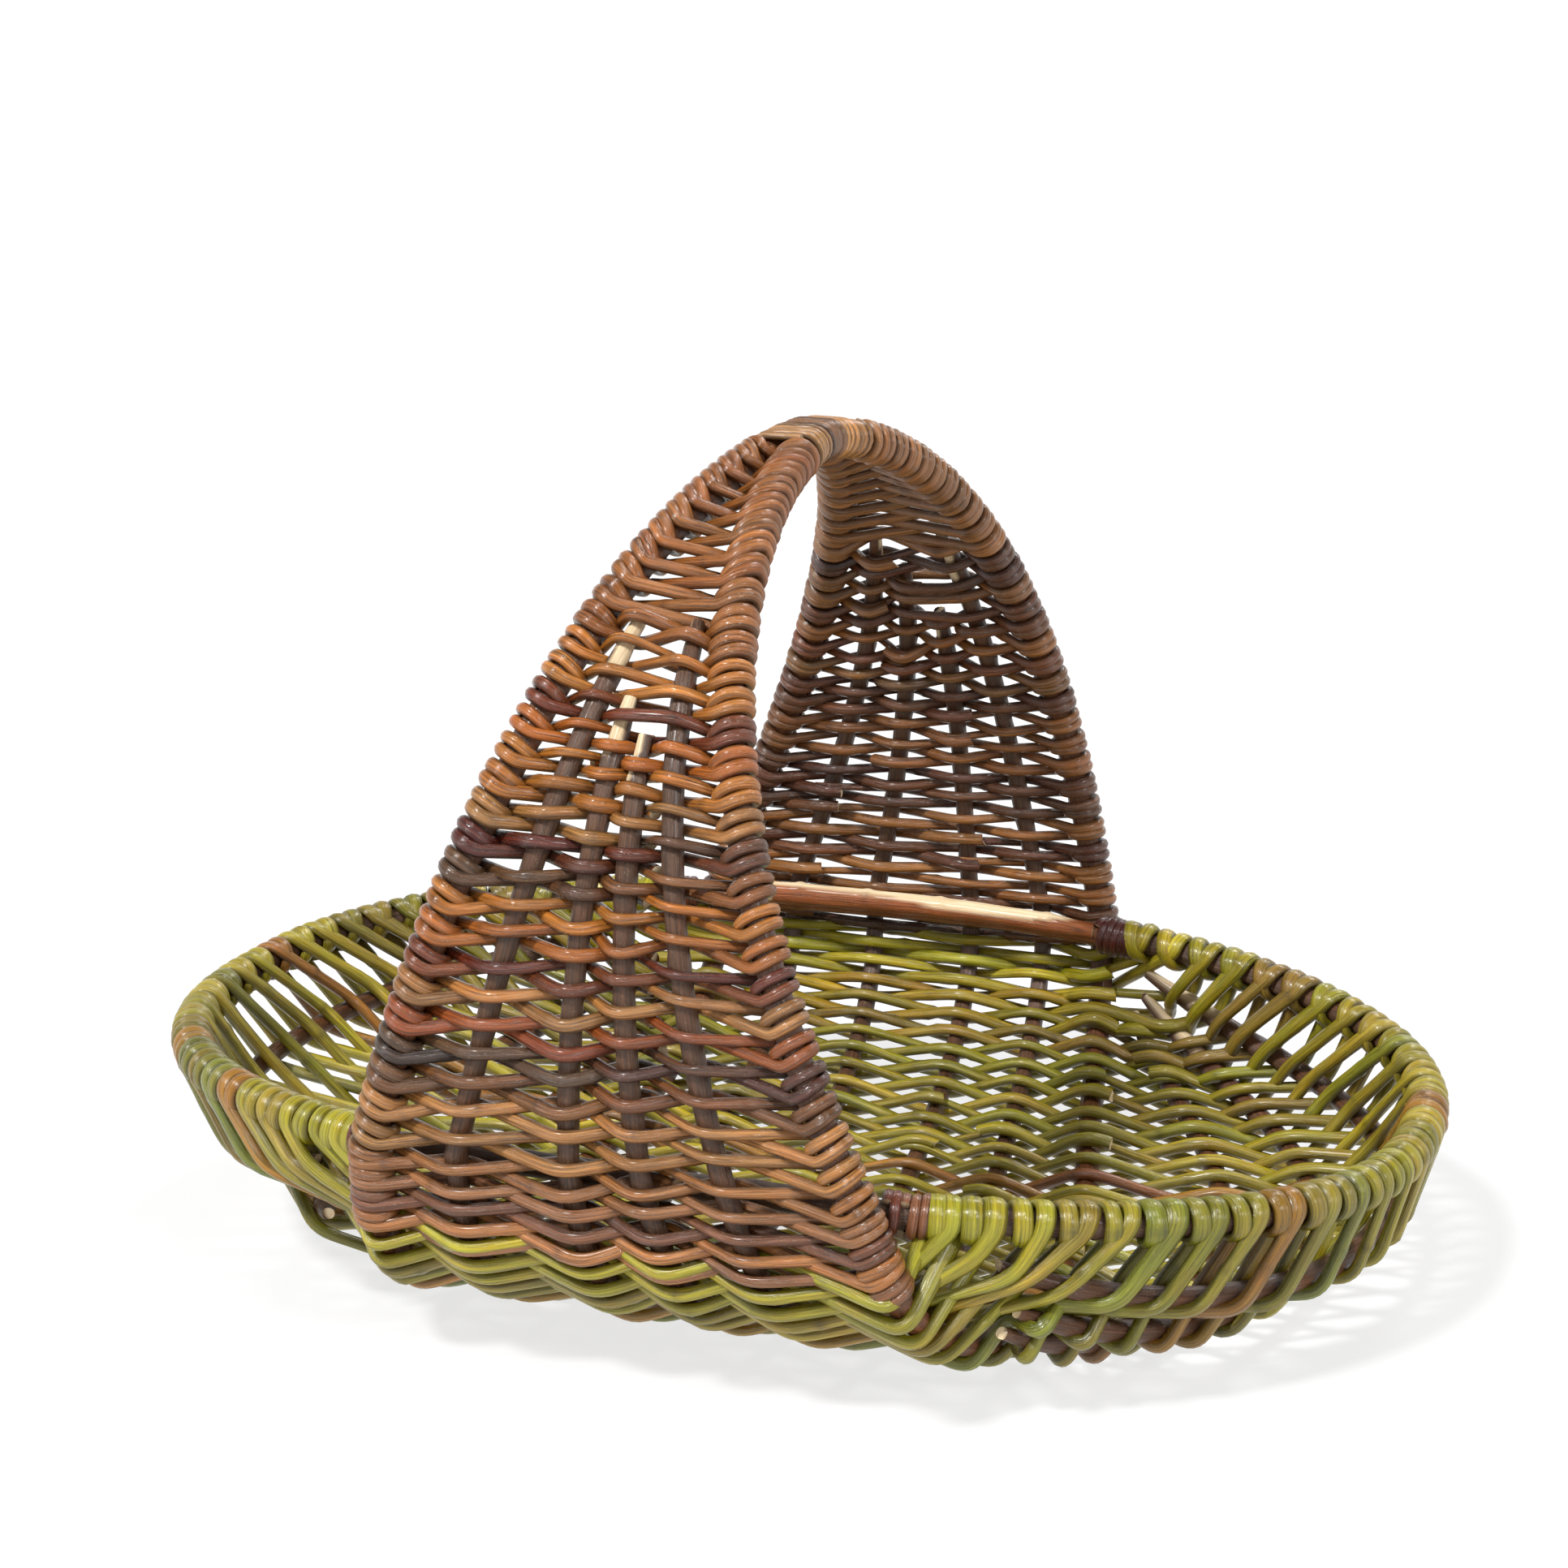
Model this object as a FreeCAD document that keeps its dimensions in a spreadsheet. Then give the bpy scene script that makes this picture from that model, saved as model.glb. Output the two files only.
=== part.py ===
import FreeCAD, Part
import math, os

# Oval willow frame basket with a broad woven arch handle.
# Millimetres.  X runs along the length, Y from the near side to the far side, +Z up.
# The frame is one oval rim hoop, two full handle hoops that lie side by side at the crown and
# spread apart on their way down, four centre ribs between them and three ribs in each end.
# The woven skins are plain closed shells with the frame rods let into them.

V = FreeCAD.Vector
doc = FreeCAD.newDocument("frame_basket")
sheet = doc.addObject("Spreadsheet::Sheet", "dims")
row_no = [0]
val = {}


def cell(alias, value):
    row_no[0] += 1
    sheet.set("A%d" % row_no[0], alias)
    sheet.set("B%d" % row_no[0], "%g" % value)
    sheet.setAlias("B%d" % row_no[0], alias)
    val[alias] = float(value)


# overall shape
cell("rim_half_length", 300)
cell("rim_half_width_near", 223.3)
cell("rim_half_width_far", 194.9)
cell("rim_power_near", 2.14)
cell("rim_power_far", 2.50)
cell("rim_height", 95)
cell("rim_drop_left", 8)
cell("rim_drop_right", 24)
cell("rim_lean_deg", 1.0)
cell("crown_rise", 281.6)
cell("hoop_half_width_near", 228.5)
cell("hoop_half_width_far", 206)
cell("hoop_depth", 88)
cell("hoop_power_near", 3.1)
cell("hoop_power_far", 2.35)
cell("crown_half_gap", 6.6)
cell("crown_shift_x", 9.9)
cell("crown_shift_y", -2.4)
cell("floor_sag", 5)
cell("end_power_right", 2.8)
cell("end_power_left", 1.75)
# rods
cell("rim_rod_radius", 5.75)
cell("hoop_rod_radius", 6.0)
cell("rib_rod_radius", 4.5)
cell("end_rib_rod_radius", 4.6)
# skins
cell("skin_half_thickness", 8.2)
cell("panel_half_thickness", 10.3)
cell("rim_wrap_radius", 10.6)
cell("handle_wrap_radius", 10.4)
cell("crown_wrap_radius", 9.4)
cell("lashing_radius", 11.6)
cell("lashing_width", 17)
cell("weaver_diameter", 4.8)
cell("crown_binding_half_length", 29)
# base plane and frame offset
cell("base_plane_z", -5.4)
cell("frame_x", 0)
cell("frame_y", 0)
cell("frame_z", 0)
doc.recompute()


# ---------------------------------------------------------------- curves
def foot(side, near):
    return {(1, True): 113.6, (-1, True): 108.0, (1, False): 96.1, (-1, False): 121.6}[(side, near)]


def spread_power(side, near):
    return {(1, True): 1.32, (-1, True): 0.71, (1, False): 0.61, (-1, False): 0.95}[(side, near)]


def rim_point(t):
    c, s = math.cos(t), math.sin(t)
    n = val["rim_power_near"] if s < 0 else val["rim_power_far"]
    b = val["rim_half_width_near"] if s < 0 else val["rim_half_width_far"]
    x = math.copysign(val["rim_half_length"] * abs(c) ** (2 / n), c)
    y = math.copysign(b * abs(s) ** (2 / n), s)
    drop = val["rim_drop_left"] if x < 0 else val["rim_drop_right"]
    z = val["rim_height"] - drop * (x / val["rim_half_length"]) ** 2 + math.tan(math.radians(val["rim_lean_deg"])) * y
    return V(x, y, z)


def resample(pts, n):
    acc = [0.0]
    for a, b in zip(pts, pts[1:]):
        acc.append(acc[-1] + (b - a).Length)
    out, k = [], 0
    for i in range(n):
        d = acc[-1] * i / (n - 1.0)
        while k < len(acc) - 2 and acc[k + 1] < d:
            k += 1
        f = (d - acc[k]) / max(acc[k + 1] - acc[k], 1e-9)
        out.append(pts[k] + (pts[k + 1] - pts[k]) * min(max(f, 0.0), 1.0))
    return out


def at(curve, v):
    i = min(max(v, 0.0), 1.0) * (len(curve) - 1)
    a = min(int(i), len(curve) - 2)
    return curve[a] + (curve[a + 1] - curve[a]) * (i - a)


def rim_side(side):
    # from the near foot round the end to the far foot, evenly spaced
    n = 2000
    pts = [rim_point((-math.pi / 2 + math.pi * i / n) if side > 0 else (1.5 * math.pi - math.pi * i / n)) for i in range(n + 1)]
    lo = next(i for i, p in enumerate(pts) if p.x * side >= foot(side, True))
    hi = max(i for i, p in enumerate(pts) if p.x * side >= foot(side, False))
    return resample(pts[lo:hi + 1], 401)


def hoop_upper(side, near):
    # crown to rim level
    out = []
    p, q = (1.10, 0.88) if near else (1.12, 0.80)
    for i in range(801):
        tau = i / 800.0
        w = max(math.cos(math.pi * tau / 2), 0.0) ** q
        y = math.sin(math.pi * tau / 2) ** p
        y = (-val["hoop_half_width_near"] if near else val["hoop_half_width_far"]) * y + val["crown_shift_y"] * w
        g = val["crown_half_gap"]
        x = side * (g + (foot(side, near) - g) * (1 - w) ** spread_power(side, near)) + val["crown_shift_x"] * w
        out.append(V(x, y, val["rim_height"] + val["crown_rise"] * w))
    return resample(out, 401)


SPREAD = {1: ([0, .09, .16, .23, .30, .42, .55, .70, .84, .93, 1.0],
              [113.6, 132, 144, 152, 155, 152, 142, 123, 107, 99, 96.1]),
          -1: ([0, .10, .25, .5, .75, 1.0], [108, 107, 107, 110, 117, 121.6])}


def spline(xs, ys, x):
    # natural cubic through the listed values
    n = len(xs)
    h = [xs[i + 1] - xs[i] for i in range(n - 1)]
    a, b, c, r = [0] * n, [1] * n, [0] * n, [0] * n
    for i in range(1, n - 1):
        a[i], b[i], c[i] = h[i - 1], 2 * (h[i - 1] + h[i]), h[i]
        r[i] = 6 * ((ys[i + 1] - ys[i]) / h[i] - (ys[i] - ys[i - 1]) / h[i - 1])
    for i in range(1, n):
        w = a[i] / b[i - 1]
        b[i] -= w * c[i - 1]
        r[i] -= w * r[i - 1]
    m = [0.0] * n
    m[-1] = r[-1] / b[-1]
    for i in range(n - 2, -1, -1):
        m[i] = (r[i] - c[i] * m[i + 1]) / b[i]
    k = 0
    while k < n - 2 and xs[k + 1] <= x:
        k += 1
    A, B = (xs[k + 1] - x) / h[k], (x - xs[k]) / h[k]
    return A * ys[k] + B * ys[k + 1] + ((A ** 3 - A) * m[k] + (B ** 3 - B) * m[k + 1]) * h[k] ** 2 / 6


def hoop_lower(side):
    # near foot, under the tray, far foot
    n = 2000
    raw = []
    for i in range(n + 1):
        th = math.pi * i / n
        c, s = math.cos(th), math.sin(th)
        e = 2 / (val["hoop_power_near"] if c > 0 else val["hoop_power_far"])
        b = val["hoop_half_width_near"] if c > 0 else val["hoop_half_width_far"]
        raw.append((-math.copysign(b * abs(c) ** e, c), val["rim_height"] - val["hoop_depth"] * abs(s) ** e))
    acc = [0.0]
    for p, q in zip(raw, raw[1:]):
        acc.append(acc[-1] + math.hypot(q[0] - p[0], q[1] - p[1]))
    xs, ys = SPREAD[side]
    return resample([V(side * spline(xs, ys, d / acc[-1]), p[0], p[1]) for p, d in zip(raw, acc)], 401)


RIM = {s: rim_side(s) for s in (1, -1)}
LOW = {s: hoop_lower(s) for s in (1, -1)}
UP = {(s, n): hoop_upper(s, n) for s in (1, -1) for n in (True, False)}


def end_point(side, v, g):
    # g = 0 on the rim, 1 on the handle hoop
    R, H = at(RIM[side], v), at(LOW[side], v)
    m = val["end_power_right"] if side > 0 else val["end_power_left"]
    c = max(math.cos(g * math.pi / 2), 0.0) ** (2 / m)
    s = math.sin(g * math.pi / 2) ** (2 / m)
    return V(H.x + (R.x - H.x) * c, H.y + (R.y - H.y) * c, R.z + (H.z - R.z) * s)


def centre_point(v, q):
    # q = 0 on the right hoop, 1 on the left hoop
    R, L = at(LOW[1], v), at(LOW[-1], v)
    p = R + (L - R) * q
    return V(p.x, p.y, p.z - val["floor_sag"] * math.sin(math.pi * v) * 4 * q * (1 - q))


def panel_point(near, w, q):
    # w = 0 at rim level, 1 at the crown
    R, L = at(UP[(1, near)], 1 - w), at(UP[(-1, near)], 1 - w)
    return R + (L - R) * q


# ---------------------------------------------------------------- rods
def fillet_path(pts, closed=False):
    # straight runs joined by tangent arcs; returns a list of edges in order
    n = len(pts)
    cut = {}
    for i in range(n):
        if not closed and i in (0, n - 1):
            continue
        a, p, b = pts[i - 1], pts[i], pts[(i + 1) % n]
        u, w = a - p, b - p
        run = 0.45 * min(u.Length, w.Length)
        u.normalize()
        w.normalize()
        turn = math.pi - u.getAngle(w)
        if turn < 1e-3:
            continue
        radius = run / math.tan(turn / 2)
        bis = (u + w)
        bis.normalize()
        mid = p + bis * (radius / math.cos(turn / 2) - radius)
        cut[i] = (p + u * run, mid, p + w * run)
    edges = []
    for i in range(n if closed else n - 1):
        j = (i + 1) % n
        a = cut[i][2] if i in cut else pts[i]
        b = cut[j][0] if j in cut else pts[j]
        edges.append(("line", a, b))
        if j in cut and (closed or j != n - 1):
            edges.append(("arc",) + cut[j])
    return edges


def make(e):
    if e[0] == "line":
        return Part.LineSegment(e[1], e[2]).toShape()
    return Part.Arc(e[1], e[2], e[3]).toShape()


def frame_offset(obj):
    obj.setExpression("Placement.Base.x", "dims.frame_x")
    obj.setExpression("Placement.Base.y", "dims.frame_y")
    obj.setExpression("Placement.Base.z", "dims.frame_z")


nodes = []


def sweep(name, edges, radius_cell, keep=True):
    wire = Part.Wire([make(e) for e in edges])
    path = doc.addObject("Part::Feature", name + "_path")
    path.Shape = wire
    ring = doc.addObject("Part::Circle", name + "_section")
    ring.setExpression("Radius", "dims." + radius_cell)
    start = edges[0][1]
    ring.Placement = FreeCAD.Placement(start, FreeCAD.Rotation(V(0, 0, 1), edges[0][2] - start))
    rod = doc.addObject("Part::Sweep", name + "_rod" if not keep else name)
    rod.Sections = [ring]
    rod.Spine = (path, [])
    rod.Solid = True
    rod.Frenet = False
    doc.recompute()
    want = math.pi * val[radius_cell] ** 2 * wire.Length
    print(name, "sweep volume / section x length", round(rod.Shape.Volume / want, 4))
    return rod


def closed_ring(name, pts, radius_cell):
    # a ring bent from one rod: two half sweeps that meet end to end, fused
    e = fillet_path(pts, True)
    lines = [i for i, k in enumerate(e) if k[0] == "line"]
    i0, i1 = lines[0], lines[len(lines) // 2]
    m0 = (e[i0][1] + e[i0][2]) * 0.5
    m1 = (e[i1][1] + e[i1][2]) * 0.5
    first = [("line", m0, e[i0][2])] + e[i0 + 1:i1] + [("line", e[i1][1], m1)]
    second = [("line", m1, e[i1][2])] + e[i1 + 1:] + e[:i0] + [("line", e[i0][1], m0)]
    a = sweep(name + "_a", first, radius_cell, False)
    b = sweep(name + "_b", second, radius_cell, False)
    ring = doc.addObject("Part::MultiFuse", name)
    ring.Shapes = [a, b]
    ring.Refine = False
    doc.recompute()
    return ring


def add(obj, label):
    obj.Label = label
    nodes.append(obj)
    return obj


def solid_node(name, shape):
    obj = doc.addObject("Part::Feature", name)
    obj.Shape = shape
    return add(obj, name)


# the rim hoop, evenly spaced points round the oval
dense = [rim_point(-math.pi / 2 + 2 * math.pi * i / 2000) for i in range(2001)]
rim_pts = resample(dense, 27)[:-1]
rim = add(closed_ring("rim_hoop", rim_pts, "rim_rod_radius"), "rim_hoop")

hoops = {}
for side, name in ((-1, "handle_hoop_left"), (1, "handle_hoop_right")):
    loop = list(reversed(UP[(side, False)])) + UP[(side, True)][1:] + LOW[side][1:]
    pts = resample(loop, 43)[:-1]
    hoops[side] = add(closed_ring(name, pts, "hoop_rod_radius"), name)

NEAR_Q = {1: .82, 2: .58, 3: .43, 4: .26}
FAR_Q = {1: .80, 2: .584, 3: .33, 4: .146}
TOP_W = {1: (.62, .60), 2: (.40, .54), 3: (.38, .46), 4: (.62, .60)}
TOP_Q = {1: .72, 2: .56, 3: .44, 4: .28}
ribs = {}
for k in (1, 2, 3, 4):
    pts = []
    for i in range(5):
        w = TOP_W[k][0] * (1 - i / 5.0)
        q = NEAR_Q[k] + (TOP_Q[k] - NEAR_Q[k]) * (w / 0.62) ** 1.0
        pts.append(panel_point(True, w, q))
    for i in range(81):
        v = i / 80.0
        pts.append(centre_point(v, NEAR_Q[k] * (1 - v) + FAR_Q[k] * v))
    for i in range(1, 6):
        w = TOP_W[k][1] * i / 5.0
        q = FAR_Q[k] + (TOP_Q[k] - FAR_Q[k]) * (w / 0.62)
        pts.append(panel_point(False, w, q))
    pts = resample(pts, 34)
    ribs[k] = add(sweep("centre_rib_%d" % k, fillet_path(pts), "rib_rod_radius"), "centre_rib_%d" % k)

END_G = {1: .31, 2: .60, 3: .81}
end_ribs = {}
for side, word in ((-1, "left"), (1, "right")):
    for k in (1, 2, 3):
        a, b = {1: (.115, .90), 2: (.13, .885), 3: (.15, .87)}[k]
        pts = [end_point(side, a + (b - a) * i / 200.0, END_G[k]) for i in range(201)]
        name = "end_rib_%s_%d" % (word, k)
        end_ribs[(side, k)] = add(sweep(name, fillet_path(resample(pts, 12)), "end_rib_rod_radius"), name)

# ---------------------------------------------------------------- woven skins
rods = [rim.Shape] + [h.Shape for h in hoops.values()] + [r.Shape for r in ribs.values()] + [r.Shape for r in end_ribs.values()]


def clean_cut(base, tools, group=False):
    out = base
    for t in tools:
        if out.BoundBox.intersect(t.BoundBox):
            out = out.cut(t)
    solids = sorted(out.Solids, key=lambda s: -s.Volume)
    if group:
        kept = [s for s in solids if s.Volume > 0.2 * solids[0].Volume]
        return kept[0] if len(kept) == 1 else Part.makeCompound(kept)
    return solids[0]


def octagon_loft(sections):
    wires = []
    for c0, c1, side_dir, face_dir, r in sections:
        k = r * 0.45
        pts = [c0 - side_dir * r + face_dir * k, c0 - side_dir * k + face_dir * r, c1 + side_dir * k + face_dir * r,
               c1 + side_dir * r + face_dir * k, c1 + side_dir * r - face_dir * k, c1 + side_dir * k - face_dir * r,
               c0 - side_dir * k - face_dir * r, c0 - side_dir * r - face_dir * k]
        wires.append(Part.makePolygon(pts + [pts[0]]))
    return Part.makeLoft(wires, True, True)


def panel_sections(near, w_top, v_low, r):
    # from the panel's top, down between the hoops, to v_low under the rim
    path = []
    steps = 7
    for i in range(steps):
        w = w_top * (1 - i / float(steps))
        path.append((at(UP[(-1, near)], 1 - w), at(UP[(1, near)], 1 - w)))
    nlow = 7 if v_low > 0.05 else 3
    for i in range(nlow):
        v = v_low * i / (nlow - 1.0)
        vv = v if near else 1 - v
        path.append((at(LOW[-1], vv), at(LOW[1], vv)))
    out = []
    for i, (L, R) in enumerate(path):
        a = path[max(i - 1, 0)]
        b = path[min(i + 1, len(path) - 1)]
        t = (b[0] + b[1]) - (a[0] + a[1])
        t.normalize()
        s = R - L
        s.normalize()
        f = t.cross(s)
        f.normalize()
        out.append((L, R, s, f, r))
    return out


PANEL_TOP = {True: .800, False: .835}
LOW_V = {True: .135, False: .03}
panels = {}
for near in (True, False):
    panels[near] = octagon_loft(panel_sections(near, PANEL_TOP[near], LOW_V[near], val["panel_half_thickness"]))
    print("panel", near, panels[near].isValid(), round(panels[near].Volume))


def tube(curve, radius, runs):
    e = fillet_path(resample(curve, runs))
    wire = Part.Wire([make(x) for x in e])
    ring = Part.Wire([Part.makeCircle(radius, e[0][1], e[0][2] - e[0][1])])
    return wire.makePipeShell([ring], True, False)


# wraps round the rim, between the foot lashings
rim_wraps = {}
for side, word in ((-1, "left"), (1, "right")):
    cut_v = (.047, .957)
    part = [at(RIM[side], cut_v[0] + (cut_v[1] - cut_v[0]) * i / 300.0) for i in range(301)]
    rim_wraps[side] = tube(part, val["rim_wrap_radius"], 14)

# bindings of the two hoops above the panels
arc = {}
for side in (1, -1):
    arc[side] = list(reversed(UP[(side, True)])) + UP[(side, False)][1:]     # near rim level to far rim level


def along(side, near, w0, w1, n=120):
    return [at(UP[(side, near)], 1 - (w0 + (w1 - w0) * i / float(n))) for i in range(n + 1)]


half = val["crown_binding_half_length"]
up_len = {n: sum((b - a).Length for a, b in zip(UP[(1, n)], UP[(1, n)][1:])) for n in (True, False)}
w_bind = {n: 1 - half / up_len[n] for n in (True, False)}
bind = None
for side in (1, -1):
    line = [at(UP[(side, True)], (1 - w_bind[True]) * (1 - i / 40.0)) for i in range(41)]
    line += [at(UP[(side, False)], (1 - w_bind[False]) * i / 40.0) for i in range(1, 41)]
    t = tube(line, val["crown_wrap_radius"], 5)
    bind = t if bind is None else bind.fuse(t)
handle_wraps = {}
for near in (True, False):
    got = None
    for side in (1, -1):
        t = tube(along(side, near, PANEL_TOP[near], w_bind[near]), val["handle_wrap_radius"], 5)
        got = t if got is None else got.fuse(t)
    handle_wraps[near] = got

# foot lashings: barrels round the rim just outside each hoop, with a rounded ridge for every turn
lashings = {}
for side, word in ((-1, "left"), (1, "right")):
    for near in (True, False):
        v = .030 if near else .975
        c = at(RIM[side], v)
        d = at(RIM[side], v + .012) - at(RIM[side], v - .012)
        name = "foot_lashing_%s_%s" % ("near" if near else "far", word)
        body = doc.addObject("PartDesign::Body", name)
        sk = body.newObject("Sketcher::SketchObject", name + "_profile")
        plane = [o for o in body.Origin.OriginFeatures if o.Role == "XZ_Plane"][0]
        sk.AttachmentSupport = [(plane, "")]
        sk.MapMode = "FlatFace"
        ri, ro, hw = val["rim_rod_radius"] + 0.02, val["lashing_radius"], val["lashing_width"] / 2
        turns = 4
        pitch = 2 * hw / turns
        rb = ro - pitch / 2
        pts = [(-hw, rb), (-hw, ri), (hw, ri), (hw, rb)]
        for a, b in zip(pts, pts[1:]):
            sk.addGeometry(Part.LineSegment(V(a[0], a[1], 0), V(b[0], b[1], 0)), False)
        for i in range(turns):
            x1, x0 = hw - i * pitch, hw - (i + 1) * pitch
            sk.addGeometry(Part.Arc(V(x1, rb, 0), V((x0 + x1) / 2, rb + pitch / 2 * .8, 0), V(x0, rb, 0)), False)
        rev = body.newObject("PartDesign::Revolution", name + "_turns")
        rev.Profile = sk
        rev.ReferenceAxis = (sk, ["H_Axis"])
        rev.Angle = 360
        doc.recompute()
        rot = FreeCAD.Rotation(V(1, 0, 0), d)
        body.Placement = FreeCAD.Placement(c, rot)
        doc.recompute()
        lashings[(side, near)] = add(body, name)
        print(name, round(body.Shape.Volume), body.Shape.isValid())


G0 = .03


# end and floor skins: a smooth sheet through the ribs, thickened both ways
def sheet_grid(v0, v1, rows):
    grid = []
    nend, ncen = 10, 9
    for i in range(rows):
        v = v0 + (v1 - v0) * i / (rows - 1.0)
        line = []
        line += resample([end_point(1, v, G0 + (1 - G0) * j / 80.0) for j in range(81)], nend)
        for j in range(1, ncen):
            line.append(centre_point(v, j / (ncen - 1.0)))
        line += resample([end_point(-1, v, 1 - (1 - G0) * j / 80.0) for j in range(81)], nend)[1:]
        grid.append(line)
    return grid, nend, ncen


def normals(grid):
    R, C = len(grid), len(grid[0])
    out = []
    for i in range(R):
        line = []
        for j in range(C):
            a = grid[min(i + 1, R - 1)][j] - grid[max(i - 1, 0)][j]
            b = grid[i][min(j + 1, C - 1)] - grid[i][max(j - 1, 0)]
            n = a.cross(b)
            n.normalize()
            line.append(n)
        out.append(line)
    return out


def thick_patch(grid, nrm, c0, c1, r):
    top = [[p + n * r for p, n in zip(gl[c0:c1], nl[c0:c1])] for gl, nl in zip(grid, nrm)]
    bot = [[p - n * r for p, n in zip(gl[c0:c1], nl[c0:c1])] for gl, nl in zip(grid, nrm)]
    faces = []
    surf = []
    for g in (top, bot):
        s = Part.BSplineSurface()
        s.interpolate(g)
        surf.append(s)
        faces.append(s.toShape())
    u0, u1, w0, w1 = surf[0].bounds()
    x0, x1, y0, y1 = surf[1].bounds()
    pairs = [(surf[0].uIso(u0), surf[1].uIso(x0)), (surf[0].uIso(u1), surf[1].uIso(x1)),
             (surf[0].vIso(w0), surf[1].vIso(y0)), (surf[0].vIso(w1), surf[1].vIso(y1))]
    for a, b in pairs:
        faces.append(Part.makeRuledSurface(a.toShape(), b.toShape()))
    sh = Part.Shell(faces)
    sh.sewShape()
    so = Part.Solid(sh)
    if so.Volume < 0:
        so.reverse()
    return so


grid, nend, ncen = sheet_grid(.060, .972, 27)
nrm = normals(grid)
half_t = val["skin_half_thickness"]
patch = {1: thick_patch(grid, nrm, 0, nend, half_t),
         0: thick_patch(grid, nrm, nend - 1, nend + ncen - 1, half_t),
         -1: thick_patch(grid, nrm, nend + ncen - 2, len(grid[0]), half_t)}
for k, s in patch.items():
    print("patch", k, s.isValid(), round(s.Volume))

near_panel = clean_cut(panels[True], rods)
far_panel = clean_cut(panels[False], rods)
wraps_near = clean_cut(handle_wraps[True], [panels[True], bind] + rods, True)
wraps_far = clean_cut(handle_wraps[False], [panels[False], bind] + rods, True)
binding = clean_cut(bind, rods)
rim_skin = {}
for side in (1, -1):
    rim_skin[side] = clean_cut(rim_wraps[side], rods + [panels[True], panels[False]])

floor_box = Part.makeBox(900, 900, 100, V(-450, -450, val["base_plane_z"] - 100))
floor = clean_cut(patch[0], [panels[True], panels[False], floor_box] + rods)
ends = {}
for side in (1, -1):
    ends[side] = clean_cut(patch[side], [rim_wraps[side], panels[True], panels[False], floor_box] + rods
                           + [lashings[(side, n)].Shape for n in (True, False)])

solid_node("near_panel_weave", near_panel)
solid_node("far_panel_weave", far_panel)
solid_node("near_handle_wrap", wraps_near)
solid_node("far_handle_wrap", wraps_far)
solid_node("crown_binding", binding)
solid_node("rim_wrap_left", rim_skin[-1])
solid_node("rim_wrap_right", rim_skin[1])
solid_node("tray_floor_weave", floor)
solid_node("tray_end_weave_left", ends[-1])
solid_node("tray_end_weave_right", ends[1])

box = None
for o in nodes:
    b = o.Shape.optimalBoundingBox(False, False)
    if box is None:
        box = FreeCAD.BoundBox(b)
    else:
        box.add(b)
print("box before offset", box)
sheet.set("B%d" % (row_no[0] - 2), "%.3f" % (-(box.XMin + box.XMax) / 2))
sheet.set("B%d" % (row_no[0] - 1), "%.3f" % (-(box.YMin + box.YMax) / 2))
sheet.set("B%d" % row_no[0], "%.3f" % (-box.ZMin))
print("frame offset", [sheet.getContents("B%d" % (row_no[0] - k)) for k in (2, 1, 0)])
doc.recompute()
shift = V(-(box.XMin + box.XMax) / 2, -(box.YMin + box.YMax) / 2, -box.ZMin)
for o in nodes:
    if o.TypeId == "PartDesign::Body":
        o.Placement = FreeCAD.Placement(o.Placement.Base + shift, o.Placement.Rotation)
    else:
        frame_offset(o)
doc.recompute()

for o in doc.Objects:
    if "Invalid" in o.State or "Error" in o.State:
        raise RuntimeError("failed object " + o.Name)
os.makedirs("parts", exist_ok=True)
for o in nodes:
    s = o.Shape
    if s.isNull() or not s.isValid() or s.Volume <= 0:
        raise RuntimeError("bad shape " + o.Label)
    print("%-26s solids %d faces %d volume %.0f" % (o.Label, len(s.Solids), len(s.Faces), s.Volume))
    s.exportStep("parts/%s.step" % o.Label)
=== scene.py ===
import math
import bpy
import numpy as np
from mathutils import Matrix, Vector


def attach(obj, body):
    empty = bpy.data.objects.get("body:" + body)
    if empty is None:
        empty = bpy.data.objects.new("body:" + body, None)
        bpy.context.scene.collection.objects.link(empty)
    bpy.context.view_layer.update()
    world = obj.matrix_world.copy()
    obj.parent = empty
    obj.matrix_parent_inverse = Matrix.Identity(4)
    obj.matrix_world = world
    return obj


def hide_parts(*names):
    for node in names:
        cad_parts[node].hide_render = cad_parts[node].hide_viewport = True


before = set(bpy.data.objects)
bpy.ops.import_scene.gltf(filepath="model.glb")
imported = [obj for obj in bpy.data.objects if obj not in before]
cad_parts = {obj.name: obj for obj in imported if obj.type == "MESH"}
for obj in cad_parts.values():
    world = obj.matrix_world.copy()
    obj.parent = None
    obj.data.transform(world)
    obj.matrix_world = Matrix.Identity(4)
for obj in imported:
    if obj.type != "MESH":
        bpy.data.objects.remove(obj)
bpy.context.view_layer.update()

# Oval willow frame basket with a woven arch handle.  Curves are worked out in millimetres,
# in the part's own frame, and every mesh is written in metres.

RNG = np.random.default_rng(20)
SHIFT = np.array([-0.019, 11.25, 5.4])

RIM_R, HOOP_R, RIB_R, END_R = 5.75, 6.0, 4.7, 5.0


# ------------------------------------------------------------------ curves
def unit(a):
    return a / np.maximum(np.linalg.norm(a, axis=-1, keepdims=True), 1e-9)


def resample(P, n):
    d = np.r_[0, np.cumsum(np.linalg.norm(np.diff(P, axis=0), axis=1))]
    t = np.linspace(0, d[-1], n)
    return np.stack([np.interp(t, d, P[:, i]) for i in range(3)], 1)


def at(C, v):
    i = np.clip(np.asarray(v, float), 0, 1) * (len(C) - 1)
    a = np.minimum(i.astype(int), len(C) - 2)
    f = (i - a)[..., None]
    return C[a] * (1 - f) + C[a + 1] * f


FOOT = {(1, True): 113.6, (-1, True): 108.0, (1, False): 96.1, (-1, False): 121.6}
SPREAD_POWER = {(1, True): 1.32, (-1, True): 0.71, (1, False): 0.61, (-1, False): 0.95}


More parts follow.
